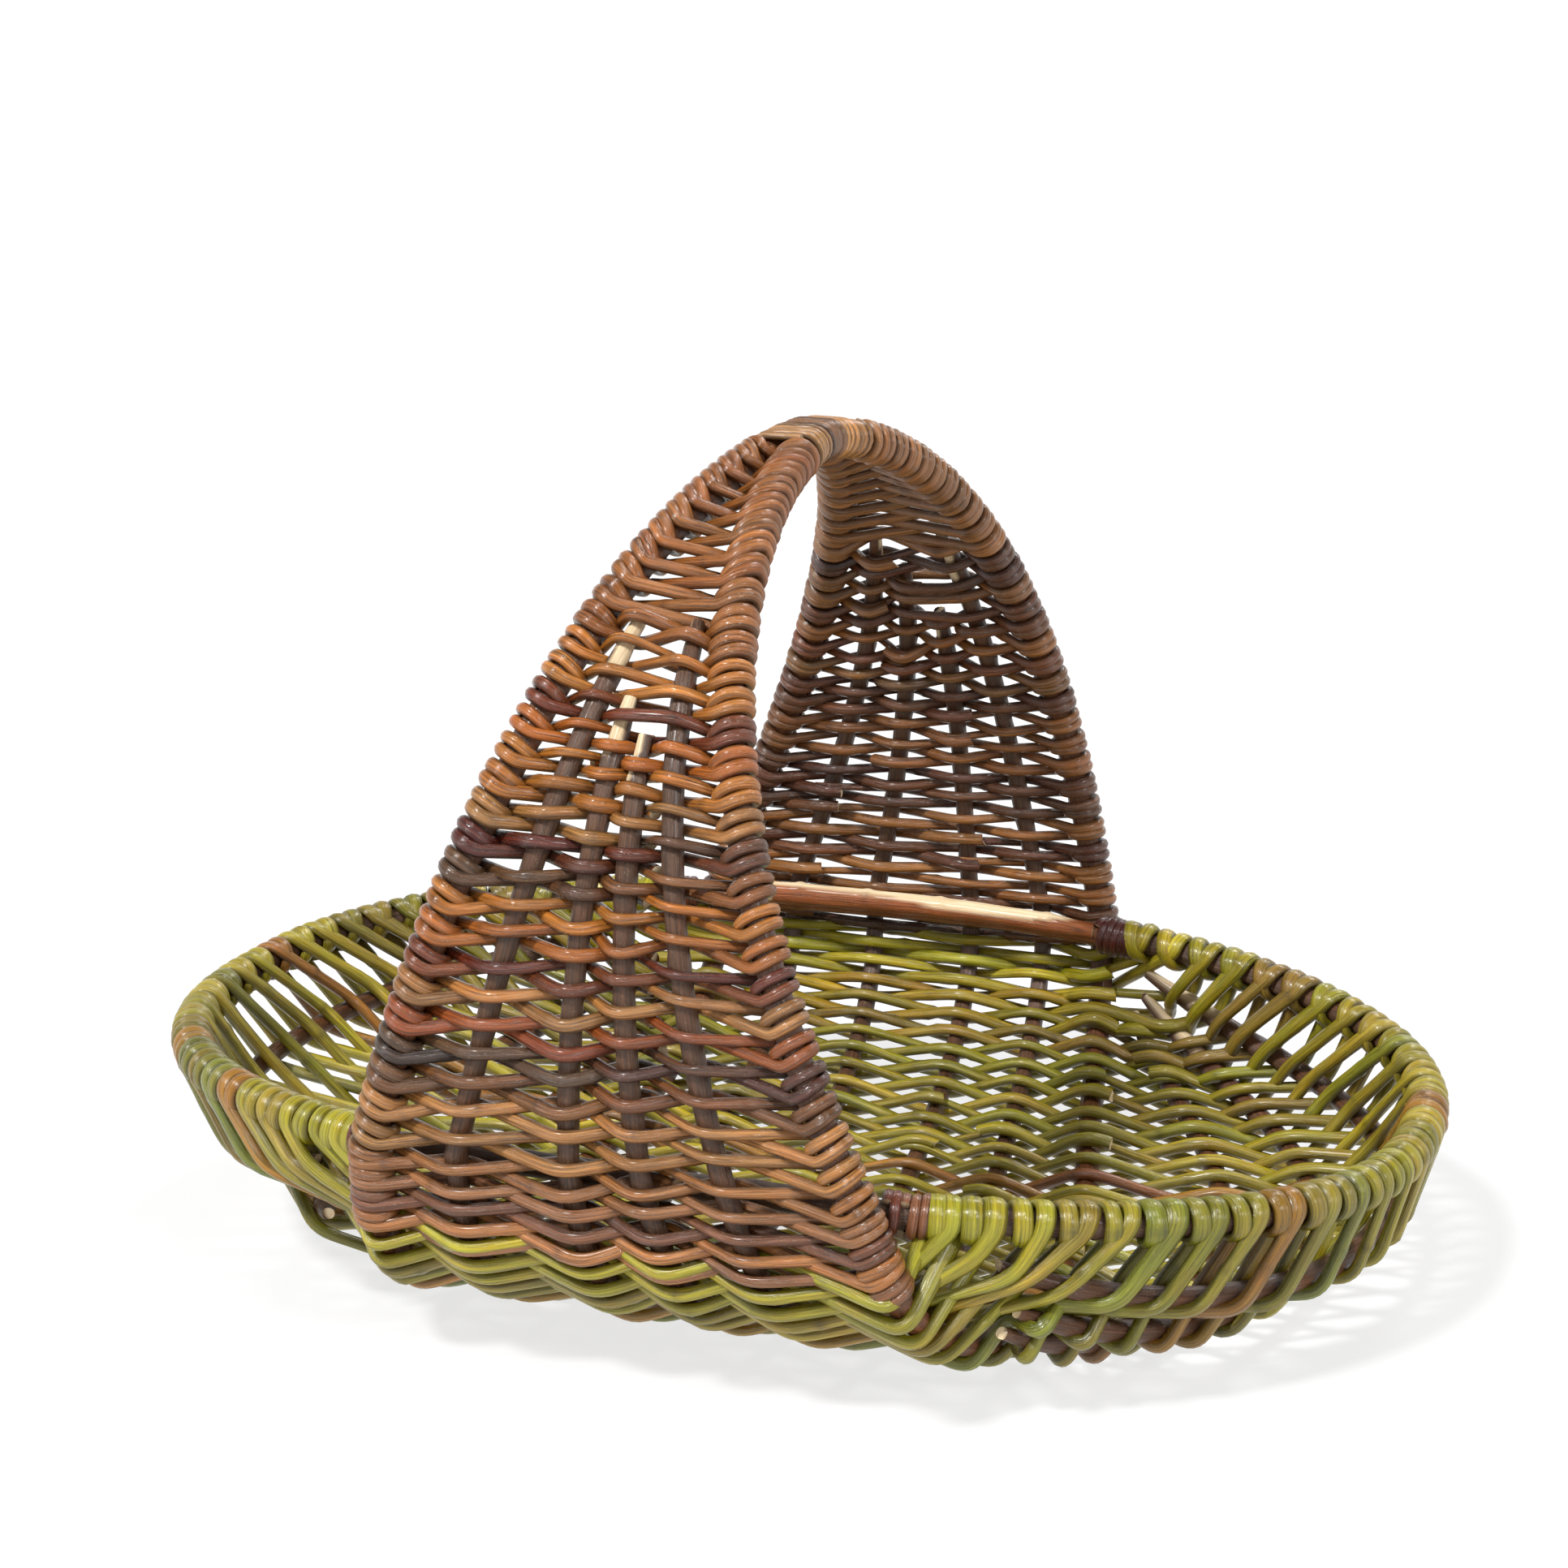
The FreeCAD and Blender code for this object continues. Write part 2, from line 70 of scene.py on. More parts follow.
def rim_curve(t):
    c, s = np.cos(t), np.sin(t)
    n = np.where(s < 0, 2.14, 2.50)
    b = np.where(s < 0, 223.3, 194.9)
    x = np.sign(c) * 300 * np.abs(c) ** (2 / n)
    y = np.sign(s) * b * np.abs(s) ** (2 / n)
    drop = np.where(x < 0, 8.0, 24.0)
    z = 95 - drop * (x / 300) ** 2 + math.tan(math.radians(1.0)) * y
    return np.stack([x, y, z], -1)


def rim_side(side):
    i = np.arange(2001) / 2000.0
    t = (-math.pi / 2 + math.pi * i) if side > 0 else (1.5 * math.pi - math.pi * i)
    P = rim_curve(t)
    lo = np.nonzero(P[:, 0] * side >= FOOT[(side, True)])[0][0]
    hi = np.nonzero(P[:, 0] * side >= FOOT[(side, False)])[0][-1]
    return resample(P[lo:hi + 1], 401)


def hoop_upper(side, near):
    tau = np.arange(801) / 800.0
    p, q = (1.10, 0.88) if near else (1.12, 0.80)
    w = np.maximum(np.cos(math.pi * tau / 2), 0.0) ** q
    y = np.sin(math.pi * tau / 2) ** p
    y = (-228.5 if near else 206.0) * y - 2.4 * w
    g = 6.6
    x = side * (g + (FOOT[(side, near)] - g) * (1 - w) ** SPREAD_POWER[(side, near)]) + 9.9 * w
    return resample(np.stack([x, y, 95 + 281.6 * w], 1), 401)


SPREAD = {1: ([0, .09, .16, .23, .30, .42, .55, .70, .84, .93, 1.0],
              [113.6, 132, 144, 152, 155, 152, 142, 123, 107, 99, 96.1]),
          -1: ([0, .10, .25, .5, .75, 1.0], [108, 107, 107, 110, 117, 121.6])}


def spline(xs, ys, x):
    xs, ys = np.asarray(xs, float), np.asarray(ys, float)
    n = len(xs)
    h = np.diff(xs)
    A = np.eye(n)
    r = np.zeros(n)
    for i in range(1, n - 1):
        A[i, i - 1], A[i, i], A[i, i + 1] = h[i - 1], 2 * (h[i - 1] + h[i]), h[i]
        r[i] = 6 * ((ys[i + 1] - ys[i]) / h[i] - (ys[i] - ys[i - 1]) / h[i - 1])
    m = np.linalg.solve(A, r)
    k = np.clip(np.searchsorted(xs, x, side="right") - 1, 0, n - 2)
    a, b = (xs[k + 1] - x) / h[k], (x - xs[k]) / h[k]
    return a * ys[k] + b * ys[k + 1] + ((a ** 3 - a) * m[k] + (b ** 3 - b) * m[k + 1]) * h[k] ** 2 / 6


def hoop_lower(side):
    th = math.pi * np.arange(2001) / 2000.0
    c, s = np.cos(th), np.sin(th)
    e = 2 / np.where(c > 0, 3.1, 2.35)
    b = np.where(c > 0, 228.5, 206.0)
    y = -np.sign(c) * b * np.abs(c) ** e
    z = 95 - 88 * np.abs(s) ** e
    d = np.r_[0, np.cumsum(np.hypot(np.diff(y), np.diff(z)))]
    xs, ys = SPREAD[side]
    return resample(np.stack([side * spline(xs, ys, d / d[-1]), y, z], 1), 401)


RIM = {s: rim_side(s) for s in (1, -1)}
LOW = {s: hoop_lower(s) for s in (1, -1)}
UP = {(s, n): hoop_upper(s, n) for s in (1, -1) for n in (True, False)}
NEAR_Q = {1: .82, 2: .58, 3: .43, 4: .26}
FAR_Q = {1: .80, 2: .584, 3: .33, 4: .146}
TOP_W = {1: (.62, .60), 2: (.52, .54), 3: (.48, .46), 4: (.62, .60)}
TOP_Q = {1: .72, 2: .56, 3: .44, 4: .28}
END_G = {1: .31, 2: .60, 3: .81}
END_V = {1: (.09, .90), 2: (.125, .885), 3: (.145, .87)}
START_LEFT = {1: .09, 2: .18, 3: .21}


def end_point(side, v, g):
    R, H = at(RIM[side], v), at(LOW[side], v)
    m = 2.8 if side > 0 else 1.75
    g = np.asarray(g, float)
    c = np.maximum(np.cos(g * math.pi / 2), 0.0) ** (2 / m)
    s = np.sin(g * math.pi / 2) ** (2 / m)
    c, s = c[..., None], s[..., None]
    out = H + (R - H) * c
    out[..., 2] = R[..., 2] + (H[..., 2] - R[..., 2]) * s[..., 0]
    return out


def centre_point(v, q):
    v = np.asarray(v, float)
    q = np.asarray(q, float)
    R, L = at(LOW[1], v), at(LOW[-1], v)
    P = R + (L - R) * q[..., None]
    P[..., 2] -= 5 * np.sin(math.pi * v) * 4 * q * (1 - q)
    return P


def panel_point(near, w, q):
    w = np.asarray(w, float)
    q = np.asarray(q, float)
    R, L = at(UP[(1, near)], 1 - w), at(UP[(-1, near)], 1 - w)
    return R + (L - R) * q[..., None]


def rib_q(k, v):
    return NEAR_Q[k] * (1 - v) + FAR_Q[k] * v


# ------------------------------------------------------------------ tube builder
def smooth(P, times=1):
    P = P.copy()
    for _ in range(times):
        P[1:-1] = .25 * P[:-2] + .5 * P[1:-1] + .25 * P[2:]
    return P


def lin(c):
    # sRGB triple 0-255 to linear
    c = np.asarray(c, float) / 255.0
    return np.where(c <= .04045, c / 12.92, ((c + .055) / 1.055) ** 2.4)


class Soup:
    """Collects tubes into one mesh with bark coordinates, tints and packed strips of UV."""

    def __init__(self, name, width=520.0):
        self.name = name
        self.V, self.F, self.tint, self.bark, self.uv, self.flat = [], [], [], [], [], []
        self.n = 0
        self.width = width
        self.cx = self.cy = 0.0
        self.row_h = 0.0

    def place(self, length, height):
        if self.cx + length > self.width:
            self.cx = 0.0
            self.cy += self.row_h + 1.2
            self.row_h = 0.0
        self.row_h = max(self.row_h, height)
        x, y = self.cx, self.cy
        self.cx += length
        return x, y

    def tube(self, P, N, a, b, col, ring=10, cut=None, seed=0, caps=(None, None), wrinkle=1.0, buds=True, cutmask=None, painted_side_shade=0.0):
        P = np.asarray(P, float)
        n = len(P)
        T = np.gradient(P, axis=0)
        T = unit(T)
        N = np.broadcast_to(np.asarray(N, float), P.shape)
        N = unit(N - T * np.sum(N * T, 1, keepdims=True))
        B = np.cross(T, N)
        a = np.broadcast_to(np.asarray(a, float), (n,))
        b = np.broadcast_to(np.asarray(b, float), (n,))
        s = np.r_[0, np.cumsum(np.linalg.norm(np.diff(P, axis=0), axis=1))]
        r = np.random.default_rng(seed)
        th = 2 * math.pi * np.arange(ring) / ring
        ph = r.uniform(0, 6.28, 6)
        S, TH = np.meshgrid(s, th, indexing="ij")
        f = (1 + wrinkle * (.030 * np.sin(3 * TH + ph[0] + S / 37) + .024 * np.sin(4 * TH + ph[1] - S / 23)
                            + .018 * np.sin(2 * TH + S / 11 + ph[2]) + .02 * np.sin(S / 5.3 + ph[3] + 1.5 * np.sin(TH))))
        bark_s0 = r.uniform(0, 900)
        bud_mask = np.zeros((n, ring))
        if buds:
            gap = 46.0
            pos = np.arange(r.uniform(5, gap), s[-1], gap)
            pos = pos + r.uniform(-12, 12, len(pos))
            ang = r.uniform(0, 6.28, len(pos))
            for p_, a_ in zip(pos, ang):
                g = np.exp(-((S - p_) / 2.4) ** 2)
                side = .5 + .5 * np.cos(TH - a_)
                f = f + wrinkle * g * (.05 + .17 * side ** 3)
                bud_mask = np.maximum(bud_mask, np.exp(-((S - p_) / 1.8) ** 2) * side ** 2)
        X = P[:, None] + (N[:, None] * (b[:, None, None] * np.cos(TH)[..., None])
                          + B[:, None] * (a[:, None, None] * np.sin(TH)[..., None])) * f[..., None]
        col = np.asarray(col, float)
        if col.ndim == 1:
            C = np.broadcast_to(col, (n, ring, 3)).copy()
        elif col.ndim == 2:
            C = np.broadcast_to(col[:, None], (n, ring, 3)).copy()
        else:
            C = col.copy()
        # bud marks darken the bark colour; painted shade darkens each strand towards its two narrow sides, where it
        # lies against its neighbours
        C = C * (1 - .45 * bud_mask[..., None]) * (1 - painted_side_shade * np.abs(np.sin(TH)) ** 5)[..., None]
        A = np.zeros((n, ring, 1)) if cutmask is None else cutmask[..., None]
        base = self.n
        self.V.append(X.reshape(-1, 3))
        self.tint.append(np.concatenate([C, A], 2).reshape(-1, 4))
        rad = .5 * (a + b)
        self.bark.append(np.stack([S + bark_s0, rad[:, None] * np.cos(TH) + ph[4] * 40, rad[:, None] * np.sin(TH) + ph[5] * 40], 2).reshape(-1, 3))
        i = np.arange(n - 1)[:, None]
        j = np.arange(ring)[None]
        j2 = (j + 1) % ring
        q = np.stack([i * ring + j, (i + 1) * ring + j, (i + 1) * ring + j2, i * ring + j2], 2).reshape(-1, 4) + base
        self.F.append(q)
        self.flat.append(np.zeros(len(q), bool))
        # strips of UV, one cell per ring
        circ = float(np.max(rad)) * 6.0
        ds = np.diff(s)
        x0 = np.empty(n - 1)
        y0 = np.empty(n - 1)
        for k in range(n - 1):
            x0[k], y0[k] = self.place(ds[k], circ)
        self.cx += 1.2
        u = np.stack([x0, x0 + ds, x0 + ds, x0], 1)[:, None, :].repeat(ring, 1)
        jj = np.arange(ring) / ring * circ
        v = np.stack([jj, jj, jj + circ / ring, jj + circ / ring], 1)[None].repeat(n - 1, 0) + y0[:, None, None]
        self.uv.append(np.stack([u, v], 3).reshape(-1, 2))
        self.n += n * ring
        for end, kind in zip((0, 1), caps):
            idx = 0 if end == 0 else n - 1
            rim = X[idx]
            centre = rim.mean(0)
            d = -T[idx] if end == 0 else T[idx]
            if kind == "butt":
                tilt = unit(r.normal(size=3))
                tilt = unit(tilt - d * np.dot(tilt, d))
                h = ((rim - centre) @ tilt)
                rim2 = rim + d * (h * r.uniform(.15, .9))[:, None] * 1.0
                cc = lin((226, 196, 150)) * r.uniform(.85, 1.08)
                af = 1.0
                lift = .10
            else:
                rim2 = rim.copy()
                cc = C[idx].mean(0) * .8
                af = .35
                lift = .25
            cen = rim2.mean(0) + d * lift * b[idx]
            base = self.n
            vv = np.concatenate([rim, rim2, rim2, cen[None]])
            self.V.append(vv)
            cb = np.concatenate([C[idx], np.zeros((ring, 1))], 1)
            cw = np.concatenate([np.broadcast_to(cc, (ring + 1, 3)), np.full((ring + 1, 1), af)], 1)
            self.tint.append(np.concatenate([cb, cb, cw]))
            bk = np.zeros((3 * ring + 1, 3))
            bk[:ring] = self.bark[-1].reshape(n, ring, 3)[idx] if len(self.bark[-1]) == n * ring else 0
            bk[ring:2 * ring] = bk[:ring]
            loc = (vv[2 * ring:] - centre)
            bk[2 * ring:] = np.stack([loc @ N[idx], loc @ B[idx], loc @ d], 1) + ph[4] * 30
            if end == 0:
                self._tube_bark = self.bark[-1]
            src = self._tube_bark.reshape(n, ring, 3)[idx] if end == 1 else bk[:ring]
            bk[:ring] = src
            bk[ring:2 * ring] = src
            self.bark.append(bk)
            k = np.arange(ring)
            k2 = (k + 1) % ring
            if end == 0:
                q = np.stack([k, k2, ring + k2, ring + k], 1)
                t = np.stack([2 * ring + k, 2 * ring + k2, np.full(ring, 3 * ring)], 1)
                q = q[:, ::-1]
                q = q[:, ::-1]
            else:
                q = np.stack([k, ring + k, ring + k2, k2], 1)
                t = np.stack([2 * ring + k2, 2 * ring + k, np.full(ring, 3 * ring)], 1)
            self.F.append(q + base)
            self.flat.append(np.zeros(ring, bool))
            tt = np.concatenate([t, np.full((ring, 1), -1)], 1)
            tt[:, :3] += base
            self.F.append(tt)
            self.flat.append(np.ones(ring, bool))
            side = 2.2 * float(rad[idx])
            x, y = self.place(side + 1.2, max(side, circ))
            cu = np.stack([x + side / 2 + side / 2 * np.cos(th), y + side / 2 + side / 2 * np.sin(th)], 1)
            cu2 = np.stack([x + side / 2 + side / 2.4 * np.cos(th), y + side / 2 + side / 2.4 * np.sin(th)], 1)
            c0 = np.array([[x + side / 2, y + side / 2]])
            if end == 0:
                self.uv.append(np.stack([cu[k], cu[k2], cu2[k2], cu2[k]], 1).reshape(-1, 2))
                self.uv.append(np.stack([cu2[k], cu2[k2], np.repeat(c0, ring, 0)], 1).reshape(-1, 2))
            else:
                self.uv.append(np.stack([cu[k], cu2[k], cu2[k2], cu[k2]], 1).reshape(-1, 2))
                self.uv.append(np.stack([cu2[k2], cu2[k], np.repeat(c0, ring, 0)], 1).reshape(-1, 2))
            self.n += 3 * ring + 1

    def build(self, material, slot, replaced=()):
        V = (np.concatenate(self.V) + SHIFT) * .001
        V[:, 2] = np.where(V[:, 2] < 0, V[:, 2] * .12, V[:, 2])      # worn flat where it stands
        F = np.concatenate(self.F)
        flat = np.concatenate(self.flat)
        tri = F[:, 3] < 0
        size = np.where(tri, 3, 4)
        start = np.r_[0, np.cumsum(size)[:-1]]
        loops = F.reshape(-1)
        loops = loops[loops >= 0]
        me = bpy.data.meshes.new(self.name)
        me.vertices.add(len(V))
        me.vertices.foreach_set("co", V.astype(np.float32).ravel())
        me.loops.add(len(loops))
        me.loops.foreach_set("vertex_index", loops.astype(np.int32))
        me.polygons.add(len(F))
        me.polygons.foreach_set("loop_start", start.astype(np.int32))
        me.polygons.foreach_set("use_smooth", ~flat)
        me.update(calc_edges=True)
        uv = np.concatenate(self.uv)
        top = self.cy + self.row_h + 1.2
        scale = 1.0 / max(self.width + 2, top)
        lay = me.uv_layers.new(name="OFBake")
        lay.data.foreach_set("uv", (uv * scale).astype(np.float32).ravel())
        t = me.attributes.new("tint", "FLOAT_COLOR", "POINT")
        t.data.foreach_set("color", np.concatenate(self.tint).astype(np.float32).ravel())
        b = me.attributes.new("bark", "FLOAT_VECTOR", "POINT")
        b.data.foreach_set("vector", np.concatenate(self.bark).astype(np.float32).ravel())
        me.validate()
        me.materials.append(material)
        ob = bpy.data.objects.new(self.name, me)
        bpy.context.scene.collection.objects.link(ob)
        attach(ob, "root")
        if replaced:
            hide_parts(*replaced)
        print(self.name, "faces", len(F), "tris", int(len(F) * 2 - tri.sum()), "uv", round(self.width), round(top))
        return ob


# ------------------------------------------------------------------ materials
def bark_material(name, rough=.36, bump=.5, streak=(.62, 1.28), coat=.12, speck=.4, warmth=.6, depth=(1, 1, 1, 1)):
    m = bpy.data.materials.new(name)
    m.use_nodes = True
    nt = m.node_tree
    nd, ln = nt.nodes, nt.links
    nd.clear()
    out = nd.new("ShaderNodeOutputMaterial")
    bs = nd.new("ShaderNodeBsdfPrincipled")
    ln.new(bs.outputs[0], out.inputs[0])
    tint = nd.new("ShaderNodeAttribute")
    tint.attribute_name = "tint"
    bark = nd.new("ShaderNodeAttribute")
    bark.attribute_name = "bark"

    def scaled(sx, sy):
        v = nd.new("ShaderNodeVectorMath")
        v.operation = "MULTIPLY"
        ln.new(bark.outputs["Vector"], v.inputs[0])
        v.inputs[1].default_value = (sx, sy, sy)
        return v.outputs[0]

    def noise(sx, sy, detail, roughness):
        n = nd.new("ShaderNodeTexNoise")
        ln.new(scaled(sx, sy), n.inputs["Vector"])
        n.inputs["Scale"].default_value = 1.0
        n.inputs["Detail"].default_value = detail
        n.inputs["Roughness"].default_value = roughness
        return n.outputs["Fac"]

    def remap(x, a, b, c, d):
        r = nd.new("ShaderNodeMapRange")
        ln.new(x, r.inputs[0])
        for k, v in zip((1, 2, 3, 4), (a, b, c, d)):
            r.inputs[k].default_value = v
        return r.outputs[0]

    def mix(kind, fac, a, b):
        x = nd.new("ShaderNodeMix")
        x.data_type = "RGBA"
        x.blend_type = kind
        if isinstance(fac, float):
            x.inputs[0].default_value = fac
        else:
            ln.new(fac, x.inputs[0])
        for sock, val in ((x.inputs[6], a), (x.inputs[7], b)):
            if isinstance(val, tuple):
                sock.default_value = val
            else:
                ln.new(val, sock)
        return x.outputs[2]

    lines = noise(.035, 1.15, 4.0, .62)
    fine = noise(.10, 3.2, 3.0, .6)
    blotch = noise(.06, .16, 3.0, .55)
    vor = nd.new("ShaderNodeTexVoronoi")
    ln.new(scaled(.33, .62), vor.inputs["Vector"])
    vor.inputs["Scale"].default_value = 1.0
    dots = remap(vor.outputs["Distance"], .10, .20, 1.0, 0.0)

    bright = remap(lines, .30, .72, streak[0], streak[1])
    grey = nd.new("ShaderNodeCombineColor")
    for k in range(3):
        ln.new(bright, grey.inputs[k])
    deep = mix("MULTIPLY", 1.0, tint.outputs["Color"], depth)
    c1 = mix("MULTIPLY", 1.0, deep, grey.outputs[0])
    warm = mix("MULTIPLY", 1.0, c1, (1.18, .93, .66, 1))
    c2 = mix("MIX", remap(blotch, .44, .66, 0.0, warmth), c1, warm)
    # darker fine cracks: partly bark colour, partly painted shade in the grooves that the same noise cuts into the bump
    dark = mix("MULTIPLY", 1.0, c2, (.40, .34, .34, 1))
    c3 = mix("MIX", remap(fine, .36, .27, 0.0, .8), c2, dark)
    lightened = mix("MIX", .38, c3, (.50, .38, .20, 1))
    c4 = mix("MIX", remap(dots, 0.0, 1.0, 0.0, speck), c3, lightened)
    # cut faces and peeled wood
    wood_a = mix("MIX", remap(lines, .35, .65, 0.0, 1.0), (.86, .70, .46, 1), (.66, .47, .26, 1))
    c5 = mix("MIX", tint.outputs["Alpha"], c4, wood_a)
    ln.new(c5, bs.inputs["Base Color"])

    rg = remap(fine, .3, .7, rough - .09, rough + .17)
    rgm = nd.new("ShaderNodeMix")
    rgm.data_type = "FLOAT"
    ln.new(tint.outputs["Alpha"], rgm.inputs[0])
    ln.new(rg, rgm.inputs[2])
    rgm.inputs[3].default_value = .72
    ln.new(rgm.outputs[0], bs.inputs["Roughness"])
    bs.inputs["Specular IOR Level"].default_value = .5
    bs.inputs["Coat Weight"].default_value = coat
    bs.inputs["Coat Roughness"].default_value = .16

    h1 = nd.new("ShaderNodeMath")
    h1.operation = "MULTIPLY_ADD"
    ln.new(lines, h1.inputs[0])
    h1.inputs[1].default_value = 1.0
    ln.new(fine, h1.inputs[2])
    h2 = nd.new("ShaderNodeMath")
    h2.operation = "MULTIPLY_ADD"
    ln.new(dots, h2.inputs[0])
    h2.inputs[1].default_value = .25
    ln.new(h1.outputs[0], h2.inputs[2])
    bp = nd.new("ShaderNodeBump")
    bp.inputs["Strength"].default_value = bump
    bp.inputs["Distance"].default_value = .0007
    ln.new(h2.outputs[0], bp.inputs["Height"])
    ln.new(bp.outputs[0], bs.inputs["Normal"])
    return m


GREEN = bark_material("green_bark", rough=.24, bump=.5, streak=(.42, 1.45), depth=(.86, .84, .66, 1), coat=.2)
BROWN = bark_material("brown_bark", rough=.21, bump=.65, streak=(.30, 1.62), warmth=.4, depth=(.76, .66, .56, 1), coat=.25)
ROD = bark_material("rod_bark", rough=.36, bump=.7, streak=(.40, 1.45), coat=.12, speck=.35, depth=(.85, .74, .66, 1))

# palettes, sRGB
TRAY = [((146, 138, 32), 12), ((160, 152, 32), 12), ((128, 128, 30), 11), ((182, 168, 42), 8), ((150, 132, 46), 8),
        ((136, 106, 54), 4), ((120, 88, 58), 3), ((176, 124, 30), 2.5), ((150, 74, 26), 1.4), ((110, 122, 34), 8), ((190, 170, 36), 2.5)]
PANEL = [((190, 128, 56), 11), ((164, 106, 48), 9), ((126, 58, 28), 9), ((96, 40, 26), 8), ((70, 32, 34), 8),
         ((176, 134, 80), 7), ((104, 78, 54), 5), ((58, 46, 44), 4), ((196, 116, 44), 6), ((128, 90, 50), 6)]
TOPN = [((184, 126, 62), 10), ((168, 108, 50), 9), ((150, 84, 42), 6), ((112, 56, 34), 3), ((140, 108, 66), 4)]
LOWER = [((146, 104, 66), 9), ((166, 114, 62), 9), ((116, 74, 52), 8), ((90, 56, 50), 6), ((68, 64, 70), 1.4), ((172, 124, 68), 6), ((124, 84, 54), 6)]
FARP = [((150, 100, 50), 10), ((116, 68, 38), 9), ((88, 50, 34), 8), ((64, 42, 36), 5), ((150, 108, 60), 8), ((88, 60, 42), 5), ((164, 112, 54), 7)]


def pick(rng, palette):
    w = np.array([p[1] for p in palette], float)
    c = lin(palette[rng.choice(len(palette), p=w / w.sum())][0])
    return c * rng.uniform(.78, 1.22) * (1 + rng.normal(0, .02, 3))


# ------------------------------------------------------------------ path helpers
def corner_round(C, contact, setback=12.0, steps=3):
    """Straight runs between contacts with each corner bent round its rod.  C is the list of
    control points, contact says which are contacts.  Returns points and, for each, a float index."""
    C = np.asarray(C, float)
    n = len(C)
    K = C.copy()
    L = np.linalg.norm(np.diff(C, axis=0), axis=1)
    sb = np.zeros(n)
    for i in range(1, n - 1):
        sb[i] = min(setback, .38 * L[i - 1], .38 * L[i])
    for _ in range(3):
        d0 = unit(K[:-2] - K[1:-1])
        d1 = unit(K[2:] - K[1:-1])
        mid = K[1:-1] + (d0 + d1) * (sb[1:-1, None] / 4)
        K[1:-1] += np.where(np.asarray(contact)[1:-1, None], C[1:-1] - mid, 0)
    out, idx = [K[0]], [0.0]
    for i in range(1, n - 1):
        a = K[i] + unit(K[i - 1] - K[i]) * sb[i]
        b = K[i] + unit(K[i + 1] - K[i]) * sb[i]
        l0, l1 = sb[i] / max(L[i - 1], 1e-6), sb[i] / max(L[i], 1e-6)
        for k in range(steps + 1):
            t = k / steps
            out.append((1 - t) ** 2 * a + 2 * t * (1 - t) * K[i] + t * t * b)
            idx.append(i - l0 * (1 - t) + l1 * t if t < .5 else i + l1 * (2 * t - 1) if t > .5 else i)
    out.append(K[-1])
    idx.append(n - 1.0)
    return np.array(out), np.array(idx)


class Path:
    """One long running strand: points, reference normals, half sizes and marks."""

    def __init__(self):
        self.P, self.N, self.A, self.B, self.mark, self.region, self.D = [], [], [], [], [], [], []

    def add(self, P, N, A, B, mark=None, region=0.0, D=None):
        n = len(P)
        self.P.append(P)
        self.N.append(np.broadcast_to(N, (n, 3)))
        self.A.append(np.broadcast_to(A, (n,)))
        self.B.append(np.broadcast_to(B, (n,)))
        self.mark.append(np.zeros(n, int) if mark is None else mark)
        self.region.append(np.full(n, float(region)))
        self.D.append(np.broadcast_to(-self.N[-1] if D is None else D, (n, 3)))

    def close(self, spacing, times=2):
        P, N, D = np.concatenate(self.P), np.concatenate(self.N), np.concatenate(self.D)
        A, B, M, R = map(np.concatenate, (self.A, self.B, self.mark, self.region))
        keep = np.r_[True, np.linalg.norm(np.diff(P, axis=0), axis=1) > .15]
        M = M.copy()
        lost = np.nonzero(~keep & (M > 0))[0]
        M[np.maximum(lost - 1, 0)] = np.maximum(M[np.maximum(lost - 1, 0)], M[lost])
        P, N, A, B, M, R, D = P[keep], N[keep], A[keep], B[keep], M[keep], R[keep], D[keep]
        turn_sign = np.sign(np.sum(N[1:] * N[:-1], 1) + 1e-12)
        N = N * np.r_[1.0, np.cumprod(turn_sign)][:, None]
        s = np.r_[0, np.cumsum(np.linalg.norm(np.diff(P, axis=0), axis=1))]
        # denser where it bends
        T = unit(np.diff(P, axis=0))
        turn = np.r_[0, np.arccos(np.clip(np.sum(T[1:] * T[:-1], 1), -1, 1)), 0]
        dens = 1 / spacing + np.convolve(turn / np.maximum(np.gradient(s), .3), np.ones(3) / 3, "same") * 3.0
        cum = np.r_[0, np.cumsum(.5 * (dens[1:] + dens[:-1]) * np.diff(s))]
        m = int(cum[-1]) + 2
        t = np.interp(np.linspace(0, cum[-1], m), cum, s)
        Q = np.stack([np.interp(t, s, P[:, i]) for i in range(3)], 1)
        NN = unit(np.stack([np.interp(t, s, N[:, i]) for i in range(3)], 1))
        DD = unit(np.stack([np.interp(t, s, D[:, i]) for i in range(3)], 1))
        AA, BB, RR = np.interp(t, s, A), np.interp(t, s, B), np.interp(t, s, R)
        MM = np.zeros(m, int)
        for i in np.nonzero(M)[0]:
            MM[np.argmin(np.abs(t - s[i]))] = M[i]
        Q = smooth(Q, times)
        AA, BB = smooth(AA[:, None], 3)[:, 0], smooth(BB[:, None], 3)[:, 0]
        s = np.r_[0, np.cumsum(np.linalg.norm(np.diff(Q, axis=0), axis=1))]
        return dict(P=Q, N=NN, A=AA, B=BB, M=MM, R=RR, s=s, D=DD)


